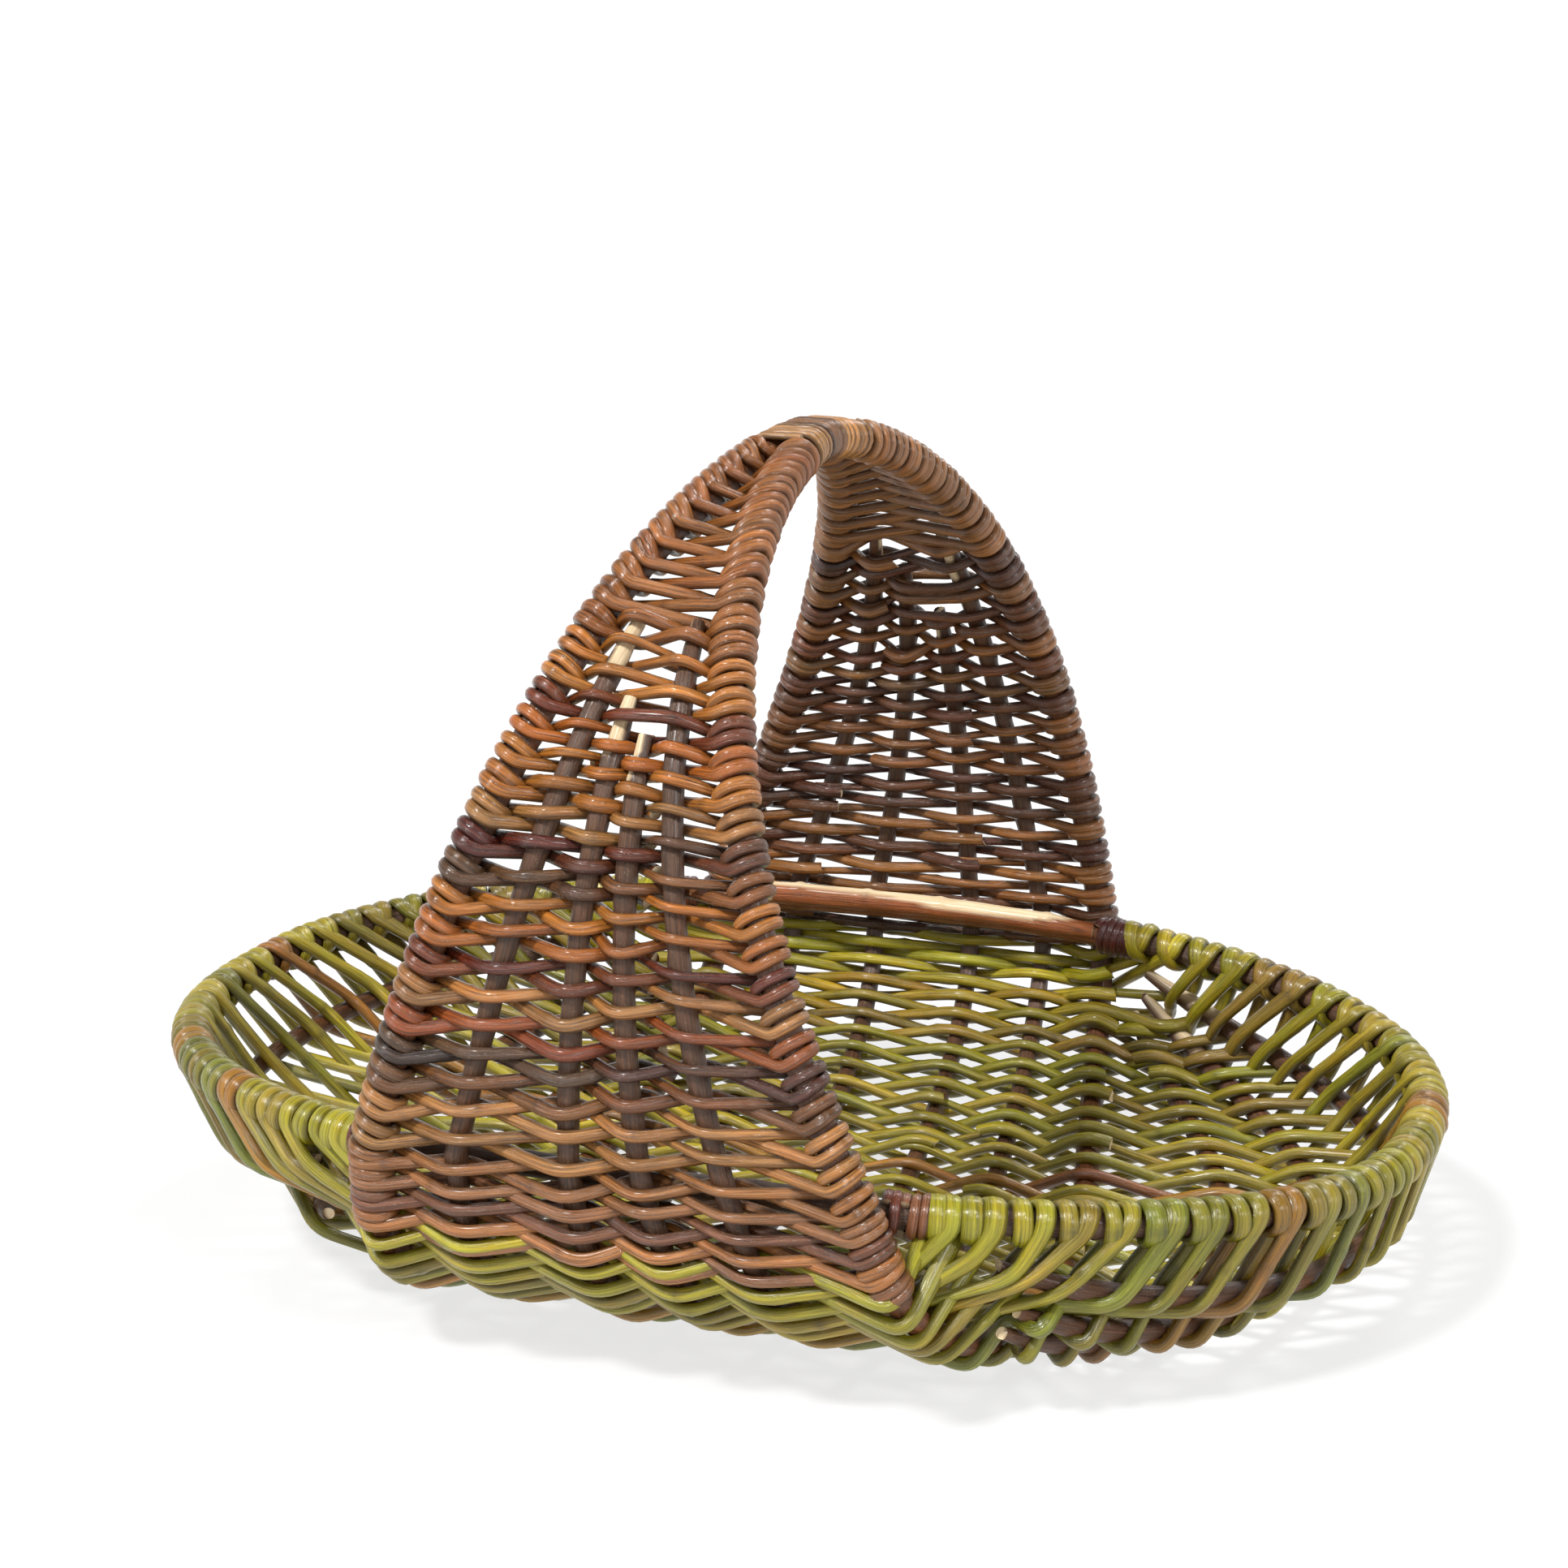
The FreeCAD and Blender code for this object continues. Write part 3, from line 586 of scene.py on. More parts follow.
def weave(soups, path, length, palette_of, rng, seed0, butt_rise=2.2, ring=10, group_of=None, taper=(1.10, .80), slide=.8, vary=75.0, mixin=.5):
    """Cuts the running strand into single willow rods, each with its own colour, butt and tip."""
    P, N, A, B, M, R, s = (path[k] for k in ("P", "N", "A", "B", "M", "R", "s"))
    cuts = [0]
    marks = np.nonzero(M)[0]
    target = length * rng.uniform(.4, 1.0)
    for i in marks:
        if s[i] - s[cuts[-1]] > target and s[-1] - s[i] > length * .3:
            cuts.append(i)
            target = length * rng.uniform(.75, 1.25)
    cuts.append(len(P) - 1)
    print("weavers", len(cuts) - 1)
    for j, (i0, i1) in enumerate(zip(cuts, cuts[1:])):
        first, last = j == 0, j == len(cuts) - 2
        lead = 0 if first else rng.uniform(9, 15)
        tail = 0 if last else rng.uniform(4, 9)
        lo = np.searchsorted(s, s[i0] - lead)
        hi = min(np.searchsorted(s, s[i1] + tail), len(P) - 1)
        seg = slice(lo, hi + 1)
        Q, Nn = P[seg].copy(), N[seg]
        t = s[seg] - s[lo]
        L = t[-1]
        if not first:
            T = unit(np.gradient(Q, axis=0))
            side = np.cross(T, Nn)
            fall = np.exp(-(t / 26.0) ** 2)[:, None]
            Q = Q + (path["D"][seg] * butt_rise + side * slide * rng.choice([-1, 1]) * A[seg][:, None] * .8) * fall
        k = taper[0] + (taper[1] - taper[0]) * (t / L)
        k = k * np.where(L - t < 60, .72 + .28 * np.clip((L - t) / 60, 0, 1), 1) * rng.uniform(.93, 1.06)
        pal = palette_of(R[(i0 + i1) // 2], rng)
        c0 = pick(rng, pal)
        knots = np.arange(0, L + vary, vary)
        kc = np.array([c0 * (1 - mixin) + pick(rng, pal) * mixin for _ in knots]) * rng.uniform(.82, 1.18, (len(knots), 1))
        col = np.stack([np.interp(t, knots, kc[:, c]) for c in range(3)], 1)
        g = 0 if group_of is None else group_of(s[(i0 + i1) // 2] / s[-1])
        # painted shade on the narrow sides of each weaver
        soups[g].tube(Q, Nn, A[seg] * k, B[seg] * np.sqrt(k), col, ring=ring, seed=seed0 + j,
                      caps=("butt", "butt" if rng.random() < .25 else "tip"), painted_side_shade=.55)


# ------------------------------------------------------------------ tray
ROWS = 60
V0 = np.array([.035, .06, .085, .11] + [.135] * 6 + [.11, .085, .06, .035])
V1 = np.array([.965, .968, .970, .972] + [.975] * 6 + [.972, .970, .968, .965])
SIGN_EVEN = np.array([0, -1, 1, -1, 1, -1, 1, -1, 1, -1, 1, -1, 1, 0])
ROD_R = np.array([RIM_R, END_R, END_R, END_R, HOOP_R, RIB_R, RIB_R, RIB_R, RIB_R, HOOP_R, END_R, END_R, END_R, RIM_R])


def warp(i, v):
    v = np.asarray(v, float)
    if i == 0:
        return at(RIM[1], v)
    if i == 13:
        return at(RIM[-1], v)
    if i in (1, 2, 3):
        return end_point(1, v, np.full(v.shape, END_G[i]))
    if i in (10, 11, 12):
        return end_point(-1, v, np.full(v.shape, END_G[13 - i]))
    if i == 4:
        return at(LOW[1], v)
    if i == 9:
        return at(LOW[-1], v)
    k = 9 - i
    return centre_point(v, rib_q(k, v))


row = np.arange(ROWS)
v_rim = np.interp(row, [0, 1, 2, 3, 4, 6, 8, 10, 59], [.042, .052, .0645, .081, .098, .128, .158, .188, .966])
v_mid = np.interp(row, [0, 2, 4, 6, 8, 10, 12, 14, 18, 35, 44, 49, 59], [.064, .085, .104, .120, .138, .184, .222, .26, .34, .66, .80, .865, .974])
v_mid = smooth(v_mid[:, None], 1)[:, 0]
# how far each strand leans towards the near foot where it meets the three end ribs
LEAN_OUT = ([1, 3, 5, 7, 9, 11, 13, 17, 21, 25, 30],
            {1: [.006, .012, .018, .034, .041, .036, .036, .034, .028, .014, 0],
             2: [.010, .020, .031, .044, .058, .074, .074, .064, .048, .024, 0],
             3: [.008, .018, .028, .042, .050, .068, .066, .054, .040, .020, 0]})
LEAN_IN = ([0, 2, 4, 6, 8, 10, 12, 16, 20, 24, 30],
           {1: [.004, .010, .018, .028, .040, .042, .040, .032, .022, .010, 0],
            2: [.006, .012, .020, .028, .044, .048, .045, .036, .026, .012, 0],
            3: [.000, .004, .010, .022, .036, .031, .030, .024, .018, .008, 0]})
far_w = np.clip((row - 19) / 9.0, 0, 1)
gap = v_mid - v_rim
vv = np.zeros((14, ROWS))
for i in range(14):
    k = i if i < 7 else 13 - i
    leaves = (row % 2 == 1) if i < 7 else (row % 2 == 0)        # rows that leave the rim on its outside
    if k == 0:
        vv[i] = v_rim
    elif k <= 3:
        near_v = v_rim - np.where(leaves, np.interp(row, LEAN_OUT[0], LEAN_OUT[1][k]), np.interp(row, LEAN_IN[0], LEAN_IN[1][k]))
        part = np.where(leaves, (.25, .55, .80)[k - 1], (.75, .72, .85)[k - 1])
        vv[i] = near_v * (1 - far_w) + (v_rim + part * gap) * far_w
    else:
        vv[i] = v_mid
for i in range(4, 10):
    vv[i] += SIGN_EVEN[i] * np.where(row % 2 == 0, 1, -1) * .0055 * np.clip(1 - row / 14.0, 0, 1)
jit = RNG.normal(0, .0011, vv.shape)
jit[[0, -1]] = RNG.normal(0, .0004, (2, ROWS))
vv = vv + jit
WP = np.stack([warp(i, vv[i]) for i in range(14)])
WT = np.stack([unit(warp(i, vv[i] + .012) - warp(i, vv[i] - .012)) for i in range(14)])
cross_dir = np.zeros_like(WP)
cross_dir[1:-1] = WP[2:] - WP[:-2]
cross_dir[0], cross_dir[-1] = WP[1] - WP[0], WP[-1] - WP[-2]
WN = unit(np.cross(WT, cross_dir))
ref = WP - np.array([0, 0, 190.0])
ref[..., 0] *= .55
ref[..., 1] *= .75
flip = np.sign(np.sum(WN * ref, -1, keepdims=True))
WN = WN * flip

# half width and half thickness of a weaver at each warp
HALF_A = np.array([4.6, 3.5, 3.45, 3.35, 3.3, 3.1, 3.0, 3.0, 3.1, 3.3, 3.35, 3.45, 3.5, 4.6])
HALF_B = np.array([2.5, 3.05, 3.0, 2.95, 2.9, 2.7, 2.6, 2.6, 2.7, 2.9, 2.95, 3.0, 3.05, 2.5])


def end_ribs_here(i, v):
    k = i if i < 5 else 13 - i
    a, b = END_V[k]
    if i > 5:
        a = START_LEFT[k]
    return a - (.03 if k == 1 else .004) < v < b + .03


def rim_frame(side, v):
    P = at(RIM[side], v)
    a = unit(at(RIM[side], np.clip(v + .006, 0, 1)) - at(RIM[side], np.clip(v - .006, 0, 1)))
    up = np.array([0, 0, 1.0])
    o = np.cross(a, up)
    o = unit(o)
    o = o * np.sign(np.sum(o * (P - np.array([0, 0, P[2]]))))
    u = np.cross(a, o)
    u = u * np.sign(u[2])
    return P, a, o, u


RIM_LEN = {s: np.linalg.norm(np.diff(RIM[s], axis=0), axis=1).sum() for s in (1, -1)}


def rim_turn(side, v_in, v_out, C_in, C_out, kind="full", e_in=None, e_out=None):
    """The strand's turns round the rim between an inside departure at v_in and an outside one at v_out.
    C_in, C_out are the contacts on the first end rib that it comes from and goes to."""
    def alpha(v, C):
        P, a, o, u = rim_frame(side, v)
        d = P - C
        return math.degrees(math.atan2(d @ u, max(d @ o, 1e-3)))
    s_in = 450 + min(max(alpha(v_in, C_in), 25), 80)
    s_out = min(max(alpha(v_out, C_out), 25), 80) - 90
    if kind == "start":
        s_in = 430.0
    if kind == "end":
        s_out = 70.0
    psi = np.linspace(s_in, s_out, 40)
    # a full band at v_in, then the departing band at v_out
    g_in = 0.0 if e_in is None else e_in - v_in
    g_out = 0.0 if e_out is None else e_out - v_out
    step = v_out - v_in
    v = np.interp(psi, [-90, -30, 30, 90, 250, 300, 450, 510, 560],
                  [v_out + .36 * g_out, v_out + .20 * g_out, v_out + .05 * g_out, v_out, v_in + .12 * step, v_in, v_in - .03 * step, v_in + .06 * g_in, v_in + .25 * g_in])
    out, nn = [], []
    rad = RIM_R + 2.5 - .15
    for p_, v_ in zip(psi, v):
        P, a, o, u = rim_frame(side, v_)
        r = math.radians(p_)
        n = o * math.cos(r) + u * math.sin(r)
        out.append(P + n * rad)
        nn.append(n)
    return np.array(out), np.array(nn)


tray = Path()
contacts = []
for k in range(ROWS):
    sg = SIGN_EVEN * (1 if k % 2 == 0 else -1)
    pts, nrm, con, sgn, hb, ha = [], [], [], [], [], []
    for i in range(1, 13):
        here = True
        if i in (1, 2, 3, 10, 11, 12):
            here = end_ribs_here(i, vv[i, k])
        if not here:
            continue
        off = sg[i] * (ROD_R[i] + .93 * HALF_B[i])
        pts.append(WP[i, k] + WN[i, k] * off)
        nrm.append(WN[i, k])
        con.append(True)
        sgn.append(sg[i])
        hb.append(HALF_B[i])
        ha.append(HALF_A[i])
    which = [i for i in range(1, 13) if i in range(4, 10) or end_ribs_here(i, vv[i, k])]
    contacts.append([np.array(pts), np.array(nrm), np.array(sgn), np.array(ha), np.array(hb), np.array(which)])

for k in range(ROWS):
    pts, nrm, sgn, ha, hb, wh = [x.copy() for x in contacts[k]]
    order = slice(None, None, -1) if k % 2 == 0 else slice(None)      # even rows run left to right
    pts, nrm, sgn, ha, hb, wh = pts[order], nrm[order], sgn[order], ha[order], hb[order], wh[order]
    start_side = -1 if k % 2 == 0 else 1
    if k == 0:
        C = contacts[0][0][-1]
        W, WN_ = rim_turn(-1, vv[13, 0] - .012, vv[13, 0], C, C, "start")
        tray.add(W, WN_, 4.6, 2.5)
    # run between the rims
    ext = np.concatenate([[tray.P[-1][-1]], pts, [pts[-1]]])
    if k < ROWS - 1:
        side = 1 if k % 2 == 0 else -1
        iw = 0 if side > 0 else 13
        C_in = pts[-1]
        nxt = contacts[k + 1][0]
        C_out = nxt[0] if side > 0 else nxt[-1]
        ie = 1 if side > 0 else 12
        W, WN_ = rim_turn(side, vv[iw, k], vv[iw, k + 1], C_in, C_out, "full", vv[ie, k], vv[ie, k + 1])
    else:
        W, WN_ = rim_turn(-1, vv[13, k], vv[13, k] + .012, pts[-1], pts[-1], "end")
    ext[-1] = W[0]
    Q, idx = corner_round(ext, [False] + [True] * len(pts) + [False], 8.5, 4)
    x = np.arange(len(ext))
    n0, n1 = tray.N[-1][-1], WN_[0]
    NE = np.concatenate([[n0], nrm, [n1]])
    # keep reference normals on one side of the strand all the way
    s0 = 1 if n0 @ nrm[0] > 0 else -1
    s1 = 1 if n1 @ nrm[-1] > 0 else -1
    NE[0], NE[-1] = n0 * s0, n1 * s1
    NI = unit(np.stack([np.interp(idx, x, NE[:, c]) for c in range(3)], 1))
    AI = np.interp(idx, x, np.r_[3.6, ha, 3.6])
    BI = np.interp(idx, x, np.r_[2.7, hb, 2.7])
    mark = np.zeros(len(Q), int)
    for i in range(1, len(pts) + 1):
        if sgn[i - 1] < 0 and 3 <= wh[i - 1] <= 10:
            mark[np.argmin(np.abs(idx - i))] = 1
    tray.add(Q[1:-1], NI[1:-1], AI[1:-1], BI[1:-1], mark[1:-1], D=-unit(np.stack([np.interp(idx, x[1:-1], nrm[:, c]) for c in range(3)], 1))[1:-1])
    tray.add(W, WN_, 4.6, 2.5)

tp = tray.close(5.0, 1)

TRAY_GROUPS = 4
soups = [Soup("tray_weave_%d" % (g + 1), 600) for g in range(TRAY_GROUPS)]
weave(soups, tp, 1000.0, lambda r, rng: TRAY, np.random.default_rng(5), 1000, butt_rise=3.4,
      group_of=lambda f: min(int(f * TRAY_GROUPS), TRAY_GROUPS - 1), taper=(1.10, .88), vary=150.0, mixin=.35)
covers = {0: ("tray_floor_weave",), 1: ("tray_end_weave_left", "tray_end_weave_right"), 2: ("rim_wrap_left",), 3: ("rim_wrap_right",)}
for g, sp in enumerate(soups):
    sp.build(GREEN, "green_willow", covers[g])


# ------------------------------------------------------------------ panels
UP_LEN = {n: np.linalg.norm(np.diff(UP[(1, n)], axis=0), axis=1).sum() for n in (True, False)}
BIND_W = {n: 1 - 29.0 / UP_LEN[n] for n in (True, False)}
ROWS_LOW = {True: 8, False: 2}
LOW_V = {True: .135, False: .975}


def panel_rows(near):
    pitch = 6.7 if near else 6.15
    top = BIND_W[near]
    n_up = int(round(top * UP_LEN[near] / pitch))
    return ROWS_LOW[near], n_up


def panel_warp(near, i, rr, nlow, nup):
    """i 0 right hoop, 1-4 ribs 4..1, 5 left hoop; rr row coordinate from the bottom."""
    rr = float(rr)
    if rr < nlow:
        f = 1 - (rr + .5) / (nlow + .5)
        v = (.074 * f) if near else (1 - .022 * f)
        if i == 0:
            return at(LOW[1], v)
        if i == 5:
            return at(LOW[-1], v)
        return centre_point(np.array(v), np.array(rib_q(5 - i, v)))
    w = BIND_W[near] * (rr - nlow) / nup
    if i == 0:
        return at(UP[(1, near)], 1 - w)
    if i == 5:
        return at(UP[(-1, near)], 1 - w)
    k = 5 - i
    q0 = (NEAR_Q if near else FAR_Q)[k]
    q = q0 + (TOP_Q[k] - q0) * min(w / .62, 1.3)
    return panel_point(near, np.array(w), np.array(q))


def panel_path(near):
    nlow, nup = panel_rows(near)
    n = nlow + nup
    rng = np.random.default_rng(31 if near else 47)
    path = Path()
    out_dir = -1 if near else 1
    hoop_b = 2.35
    info = []
    for k in range(n):
        w = BIND_W[near] * (k - nlow) / nup if k >= nlow else 0
        jr = rng.normal(0, .16, 6)
        jr[0] *= .3
        jr[5] *= .3
        C = np.array([panel_warp(near, i, k + jr[i], nlow, nup) for i in range(6)])
        D = np.array([panel_warp(near, i, k + .6, nlow, nup) - panel_warp(near, i, k - .6, nlow, nup) for i in range(6)])
        t = unit(D)
        s = unit(C[0] - C[5])
        nn = unit(np.cross(t, np.broadcast_to(s, t.shape)))
        nn = nn * np.sign(nn[:, 1:2] * out_dir + 1e-9 - .0 * nn[:, 2:3])
        if k < nlow:
            ref = C - np.array([0, 0, 190.0])
            nn = unit(np.cross(t, np.broadcast_to(s, t.shape)))
            nn = nn * np.sign(np.sum(nn * ref, 1, keepdims=True))
        here = [True] * 6
        for i in range(1, 5):
            kk = 5 - i
            here[i] = w < TOP_W[kk][0 if near else 1] - .006
        info.append((C, t, s, nn, here, w))
    sign_even = np.array([1, -1, 1, -1, 1, -1])

    def hoop_turn(side, k0, k1):
        """1.5 turns round a hoop from the front at row k0 to behind at row k1."""
        i = 0 if side > 0 else 5
        psi = np.linspace(-35, 575, 38)
        herring = np.clip((info[k0][5] - .60) / .10, 0, 1)
        tilt = 1.0 + 5.5 * herring
        out, nn = [], []
        for p_ in psi:
            f = np.interp(p_, [0, 360, 540], [k0, k0 + 1.0, k1 + .12])
            f += np.interp(p_ % 360, [0, 60, 180, 240, 300, 360], [0, tilt / 6.7, tilt / 13.0, 0, -tilt / 6.7, 0])
            Cc = panel_warp(near, i, min(max(f, 0), n - 1), nlow, nup)
            d = unit(panel_warp(near, i, min(f + .6, n), nlow, nup) - panel_warp(near, i, max(f - .6, 0), nlow, nup))
            C, t, s, nv, here, w = info[min(k0, n - 1)]
            o = s * side
            o = unit(o - d * (o @ d))
            nf = np.cross(d, o)
            nf = nf * np.sign(nf @ nv[i])
            r = math.radians(p_)
            m = nf * math.cos(r) + o * math.sin(r)
            out.append(Cc + m * (HOOP_R + hoop_b - .1))
            nn.append(m)
        return np.array(out), np.array(nn)

    # even rows run left to right and meet the right hoop in front; odd rows run back
    prev_end, prev_n = None, None
    for k in range(n):
        C, t, s, nv, here, w = info[k]
        sg = sign_even * (1 if k % 2 == 0 else -1)
        idxs = [i for i in range(1, 5) if here[i]]
        dip = 2.3 * (1 - min(max((w - .30) / .30, 0), 1)) if near else 1.0
        pts = [C[i] + nv[i] * sg[i] * (RIB_R + .93 * 2.5) - t[i] * sg[i] * dip for i in idxs]
        nr = [nv[i] for i in idxs]
        sgs = [sg[i] for i in idxs]
        if k % 2 == 0:
            pts, nr, sgs = pts[::-1], nr[::-1], sgs[::-1]
        side = 1 if k % 2 == 0 else -1
        if k < n - 1:
            W, WN_ = hoop_turn(side, k, k + 1)
        else:
            W, WN_ = hoop_turn(side, k, k + .3)
            W, WN_ = W[:22], WN_[:22]
        if prev_end is None:
            i0 = 5 if k % 2 == 0 else 0
            start = C[i0] - nv[i0] * (HOOP_R + 2.3) + (s if i0 == 5 else -s) * -3.0
            prev_end, prev_n = start, nv[i0]
            path.add(np.array([start]), nv[i0], 2.75, 2.35, region=k)
        ctrl = np.concatenate([[prev_end]] + ([np.array(pts)] if pts else []) + [[W[0]]])
        m = len(ctrl)
        if m > 2:
            Q, idx = corner_round(ctrl, [False] + [True] * (m - 2) + [False], 7.0, 3)
        else:
            Q = np.stack([ctrl[0] + (ctrl[1] - ctrl[0]) * f for f in np.linspace(0, 1, 6)])
            idx = np.linspace(0, 1, 6)
        mid_n = nr if nr else [nv[2], nv[3]]
        base = mid_n[0]
        NE = [prev_n * (1 if prev_n @ base > 0 else -1)] + (nr if nr else []) + [WN_[0] * (1 if WN_[0] @ mid_n[-1] > 0 else -1)]
        NE = np.array(NE)
        NI = unit(np.stack([np.interp(idx, np.arange(m), NE[:, c]) for c in range(3)], 1))
        mark = np.zeros(len(Q), int)
        for j, sgv in enumerate(sgs):
            if (sgv < 0):
                mark[np.argmin(np.abs(idx - (j + 1)))] = 1
        if not near:
            pass
        path.add(Q[1:-1], NI[1:-1], 2.85, 2.55, mark[1:-1], region=k, D=-nv[2])
        path.add(W, WN_, 3.0, 2.35, region=k)
        prev_end, prev_n = W[-1], WN_[-1]
    return path, nlow, nup


for near in (True, False):
    path, nlow, nup = panel_path(near)
    pp = path.close(4.2, 1)
    sp = [Soup("near_panel_willow" if near else "far_panel_willow", 470)]

    def palette_of(row, rng, near=near, nlow=nlow, nup=nup):
        if not near:
            return FARP
        return LOWER if row < nlow + 2 else TOPN if row > nlow + .73 * nup else PANEL

    weave(sp, pp, 430.0 if near else 520.0, palette_of, np.random.default_rng(61 if near else 62), 3000 if near else 5000,
          butt_rise=3.0, taper=(1.12, .86), vary=110.0, mixin=.25)
    sp[0].build(BROWN, "brown_willow", ("near_panel_weave", "near_handle_wrap") if near else ("far_panel_weave", "far_handle_wrap"))


# ------------------------------------------------------------------ crown binding
def crown_binding():
    sp = Soup("crown_binding_strand", 300)
    turns = 15
    lines = {}
    for side in (1, -1):
        a = at(UP[(side, True)], np.linspace(29.5 / UP_LEN[True], 0, 60))
        b = at(UP[(side, False)], np.linspace(0, 29.5 / UP_LEN[False], 60))
        lines[side] = resample(np.concatenate([a, b[1:]]), 201)
    pts, nn = [], []
    rng = np.random.default_rng(9)
    steps = turns * 28
    for j in range(steps + 1):
        f = j / steps
        g = min(max(f + .006 * math.sin(j * .7), 0), 1)
        R, L = at(lines[1], g), at(lines[-1], g)
        d = unit(at(lines[1], min(g + .01, 1)) - at(lines[1], max(g - .01, 0)))
        s = unit(R - L)
        s = unit(s - d * (s @ d))
        n = np.cross(d, s)
        n = n * np.sign(n[2])
        c = (R + L) / 2
        half = np.linalg.norm(R - L) / 2
        rr = HOOP_R + 1.65 + .55 * math.sin(f * turns * 2.4) ** 2 + .35 * math.sin(j / 28.0 * 1.7)
        per = 2 * math.pi * rr + 4 * half
        x = (j / 28.0 % 1.0) * per
        q = math.pi * rr
        if x < 2 * half:
            p, m = c + s * (half - x) + n * rr, n
        elif x < 2 * half + q:
            a = (x - 2 * half) / rr
            m = n * math.cos(a) - s * math.sin(a)
            p = c - s * half + m * rr
        elif x < 4 * half + q:
            p, m = c + s * (-half + (x - 2 * half - q)) - n * rr, -n
        else:
            a = (x - 4 * half - q) / rr
            m = -n * math.cos(a) + s * math.sin(a)
            p = c + s * half + m * rr
        pts.append(p)
        nn.append(m)
    pts = smooth(np.array(pts), 1)
    cuts = [0, int(steps * .3), int(steps * .63), steps]
    cols = [(176, 138, 92), (140, 104, 74), (186, 140, 84)]
    for i in range(3):
        a, b = cuts[i], min(cuts[i + 1] + 3, steps)
        m = b + 1 - a
        w = np.interp(np.arange(m), np.arange(0, m + 14, 14), rng.uniform(.55, 1.35, len(np.arange(0, m + 14, 14))))
        # painted shade on the narrow sides of the binding strand
        sp.tube(pts[a:b + 1], np.array(nn[a:b + 1]), 1.95, 1.65, lin(cols[i])[None] * w[:, None], ring=10, seed=900 + i,
                caps=("tip", "tip"), buds=False, painted_side_shade=.75)
    sp.build(BROWN, "brown_willow", ("crown_binding",))


crown_binding()


# ------------------------------------------------------------------ frame rods
def closed_tube(soup, P, radius, col, ring=14, seed=0, N=None, cutmask=None):
    """A ring of rod whose two ends lie against each other under a binding."""
    P = np.concatenate([P, P[:1] + (P[1:2] - P[:1]) * .02])
    N = np.array([0, 0, 1.0]) if N is None else N
    soup.tube(P, N, radius, radius, col, ring=ring, seed=seed, caps=("tip", "tip"), wrinkle=.8)


def rod_colour(n, ring, base, rng, spread=.18):
    t = np.linspace(0, 40, n)
    w = 1 + spread * np.sin(t + rng.uniform(0, 6)) * np.sin(t * .37 + rng.uniform(0, 6))
    return lin(base)[None] * w[:, None]


rods = Soup("hoop_rods", 560)
rng = np.random.default_rng(77)
for side in (-1, 1):
    loop = np.concatenate([UP[(side, False)][::-1], UP[(side, True)][1:], LOW[side][1:]])
    P = smooth(resample(loop, 420), 3)
    a = int(np.argmin(np.abs(P[:, 1] - 30) + (P[:, 2] > 100) * 999))
    P = np.roll(P[:-1], -a, axis=0)
    P = np.concatenate([P, P[:1]])
    # x axis of the section kept square to the loop plane
    rods.tube(P, np.array([1.0, 0, 0]), HOOP_R, HOOP_R, rod_colour(len(P), 14, (112, 76, 50), rng), ring=14,
              seed=70 + side, caps=("tip", "tip"), wrinkle=.7)
rods.build(ROD, "frame_rod", ("handle_hoop_left", "handle_hoop_right"))

rods = Soup("centre_rib_rods", 420)
for k in (1, 2, 3, 4):
    pts = []
    for i in range(24):
        w = TOP_W[k][0] * (1 - i / 24.0)
        q = NEAR_Q[k] + (TOP_Q[k] - NEAR_Q[k]) * (w / .62)
        pts.append(panel_point(True, np.array(w), np.array(q)))
    for i in range(161):
        v = i / 160.0
        pts.append(centre_point(np.array(v), np.array(rib_q(k, v))))
    for i in range(1, 25):
        w = TOP_W[k][1] * i / 24.0
        q = FAR_Q[k] + (TOP_Q[k] - FAR_Q[k]) * (w / .62)
        pts.append(panel_point(False, np.array(w), np.array(q)))
    P = smooth(resample(np.array(pts), 230), 2)
    s = np.linspace(0, 1, len(P))
    n = len(P)
    tip = np.clip(np.minimum(s, 1 - s) * 900 / 26.0, 0, 1)
    rad = RIB_R * (.62 + .38 * tip)
    peel = np.zeros((n, 12))
    for i in range(n):
        if tip[i] < .98:
            th = 2 * math.pi * np.arange(12) / 12
            peel[i] = (np.cos(th - k) > -.25 + tip[i] * 1.0) * .95
    rods.tube(P, np.array([1.0, 0, 0]), rad, rad, rod_colour(n, 12, (92, 68, 50), rng), ring=12, seed=80 + k,
              caps=("tip", "butt"), wrinkle=.9, cutmask=peel)
rods.build(ROD, "frame_rod", tuple("centre_rib_%d" % k for k in (1, 2, 3, 4)))

rods = Soup("end_rib_rods", 420)
for side in (-1, 1):
    for k in (1, 2, 3):
        a, b = END_V[k]
        a, b = (a, b + .045) if side > 0 else (START_LEFT[k], b)
        v = np.linspace(a, b, 240)
        P = smooth(resample(end_point(side, v, np.full(v.shape, END_G[k])), 150), 2)
        s = np.linspace(0, 1, 150)
        tip = np.clip(np.minimum(s, 1 - s) * 450 / 30.0, 0, 1)
        rad = END_R * (.55 + .45 * tip)
        peel = np.zeros((150, 12))
        if side > 0:
            peel[:] = (np.clip((s - .90) / .012, 0, 1)[:, None] * np.clip(1.4 * np.cos(2 * math.pi * np.arange(12) / 12 - .9) + .9, 0, 1)[None])
        rods.tube(P, np.array([0, 0, 1.0]), rad, rad, rod_colour(150, 12, (100, 70, 48), rng), ring=12, seed=90 + 3 * side + k,
                  caps=("butt", "butt"), wrinkle=.9, cutmask=peel)
rods.build(ROD, "frame_rod", tuple("end_rib_%s_%d" % (w, k) for w in ("left", "right") for k in (1, 2, 3)))


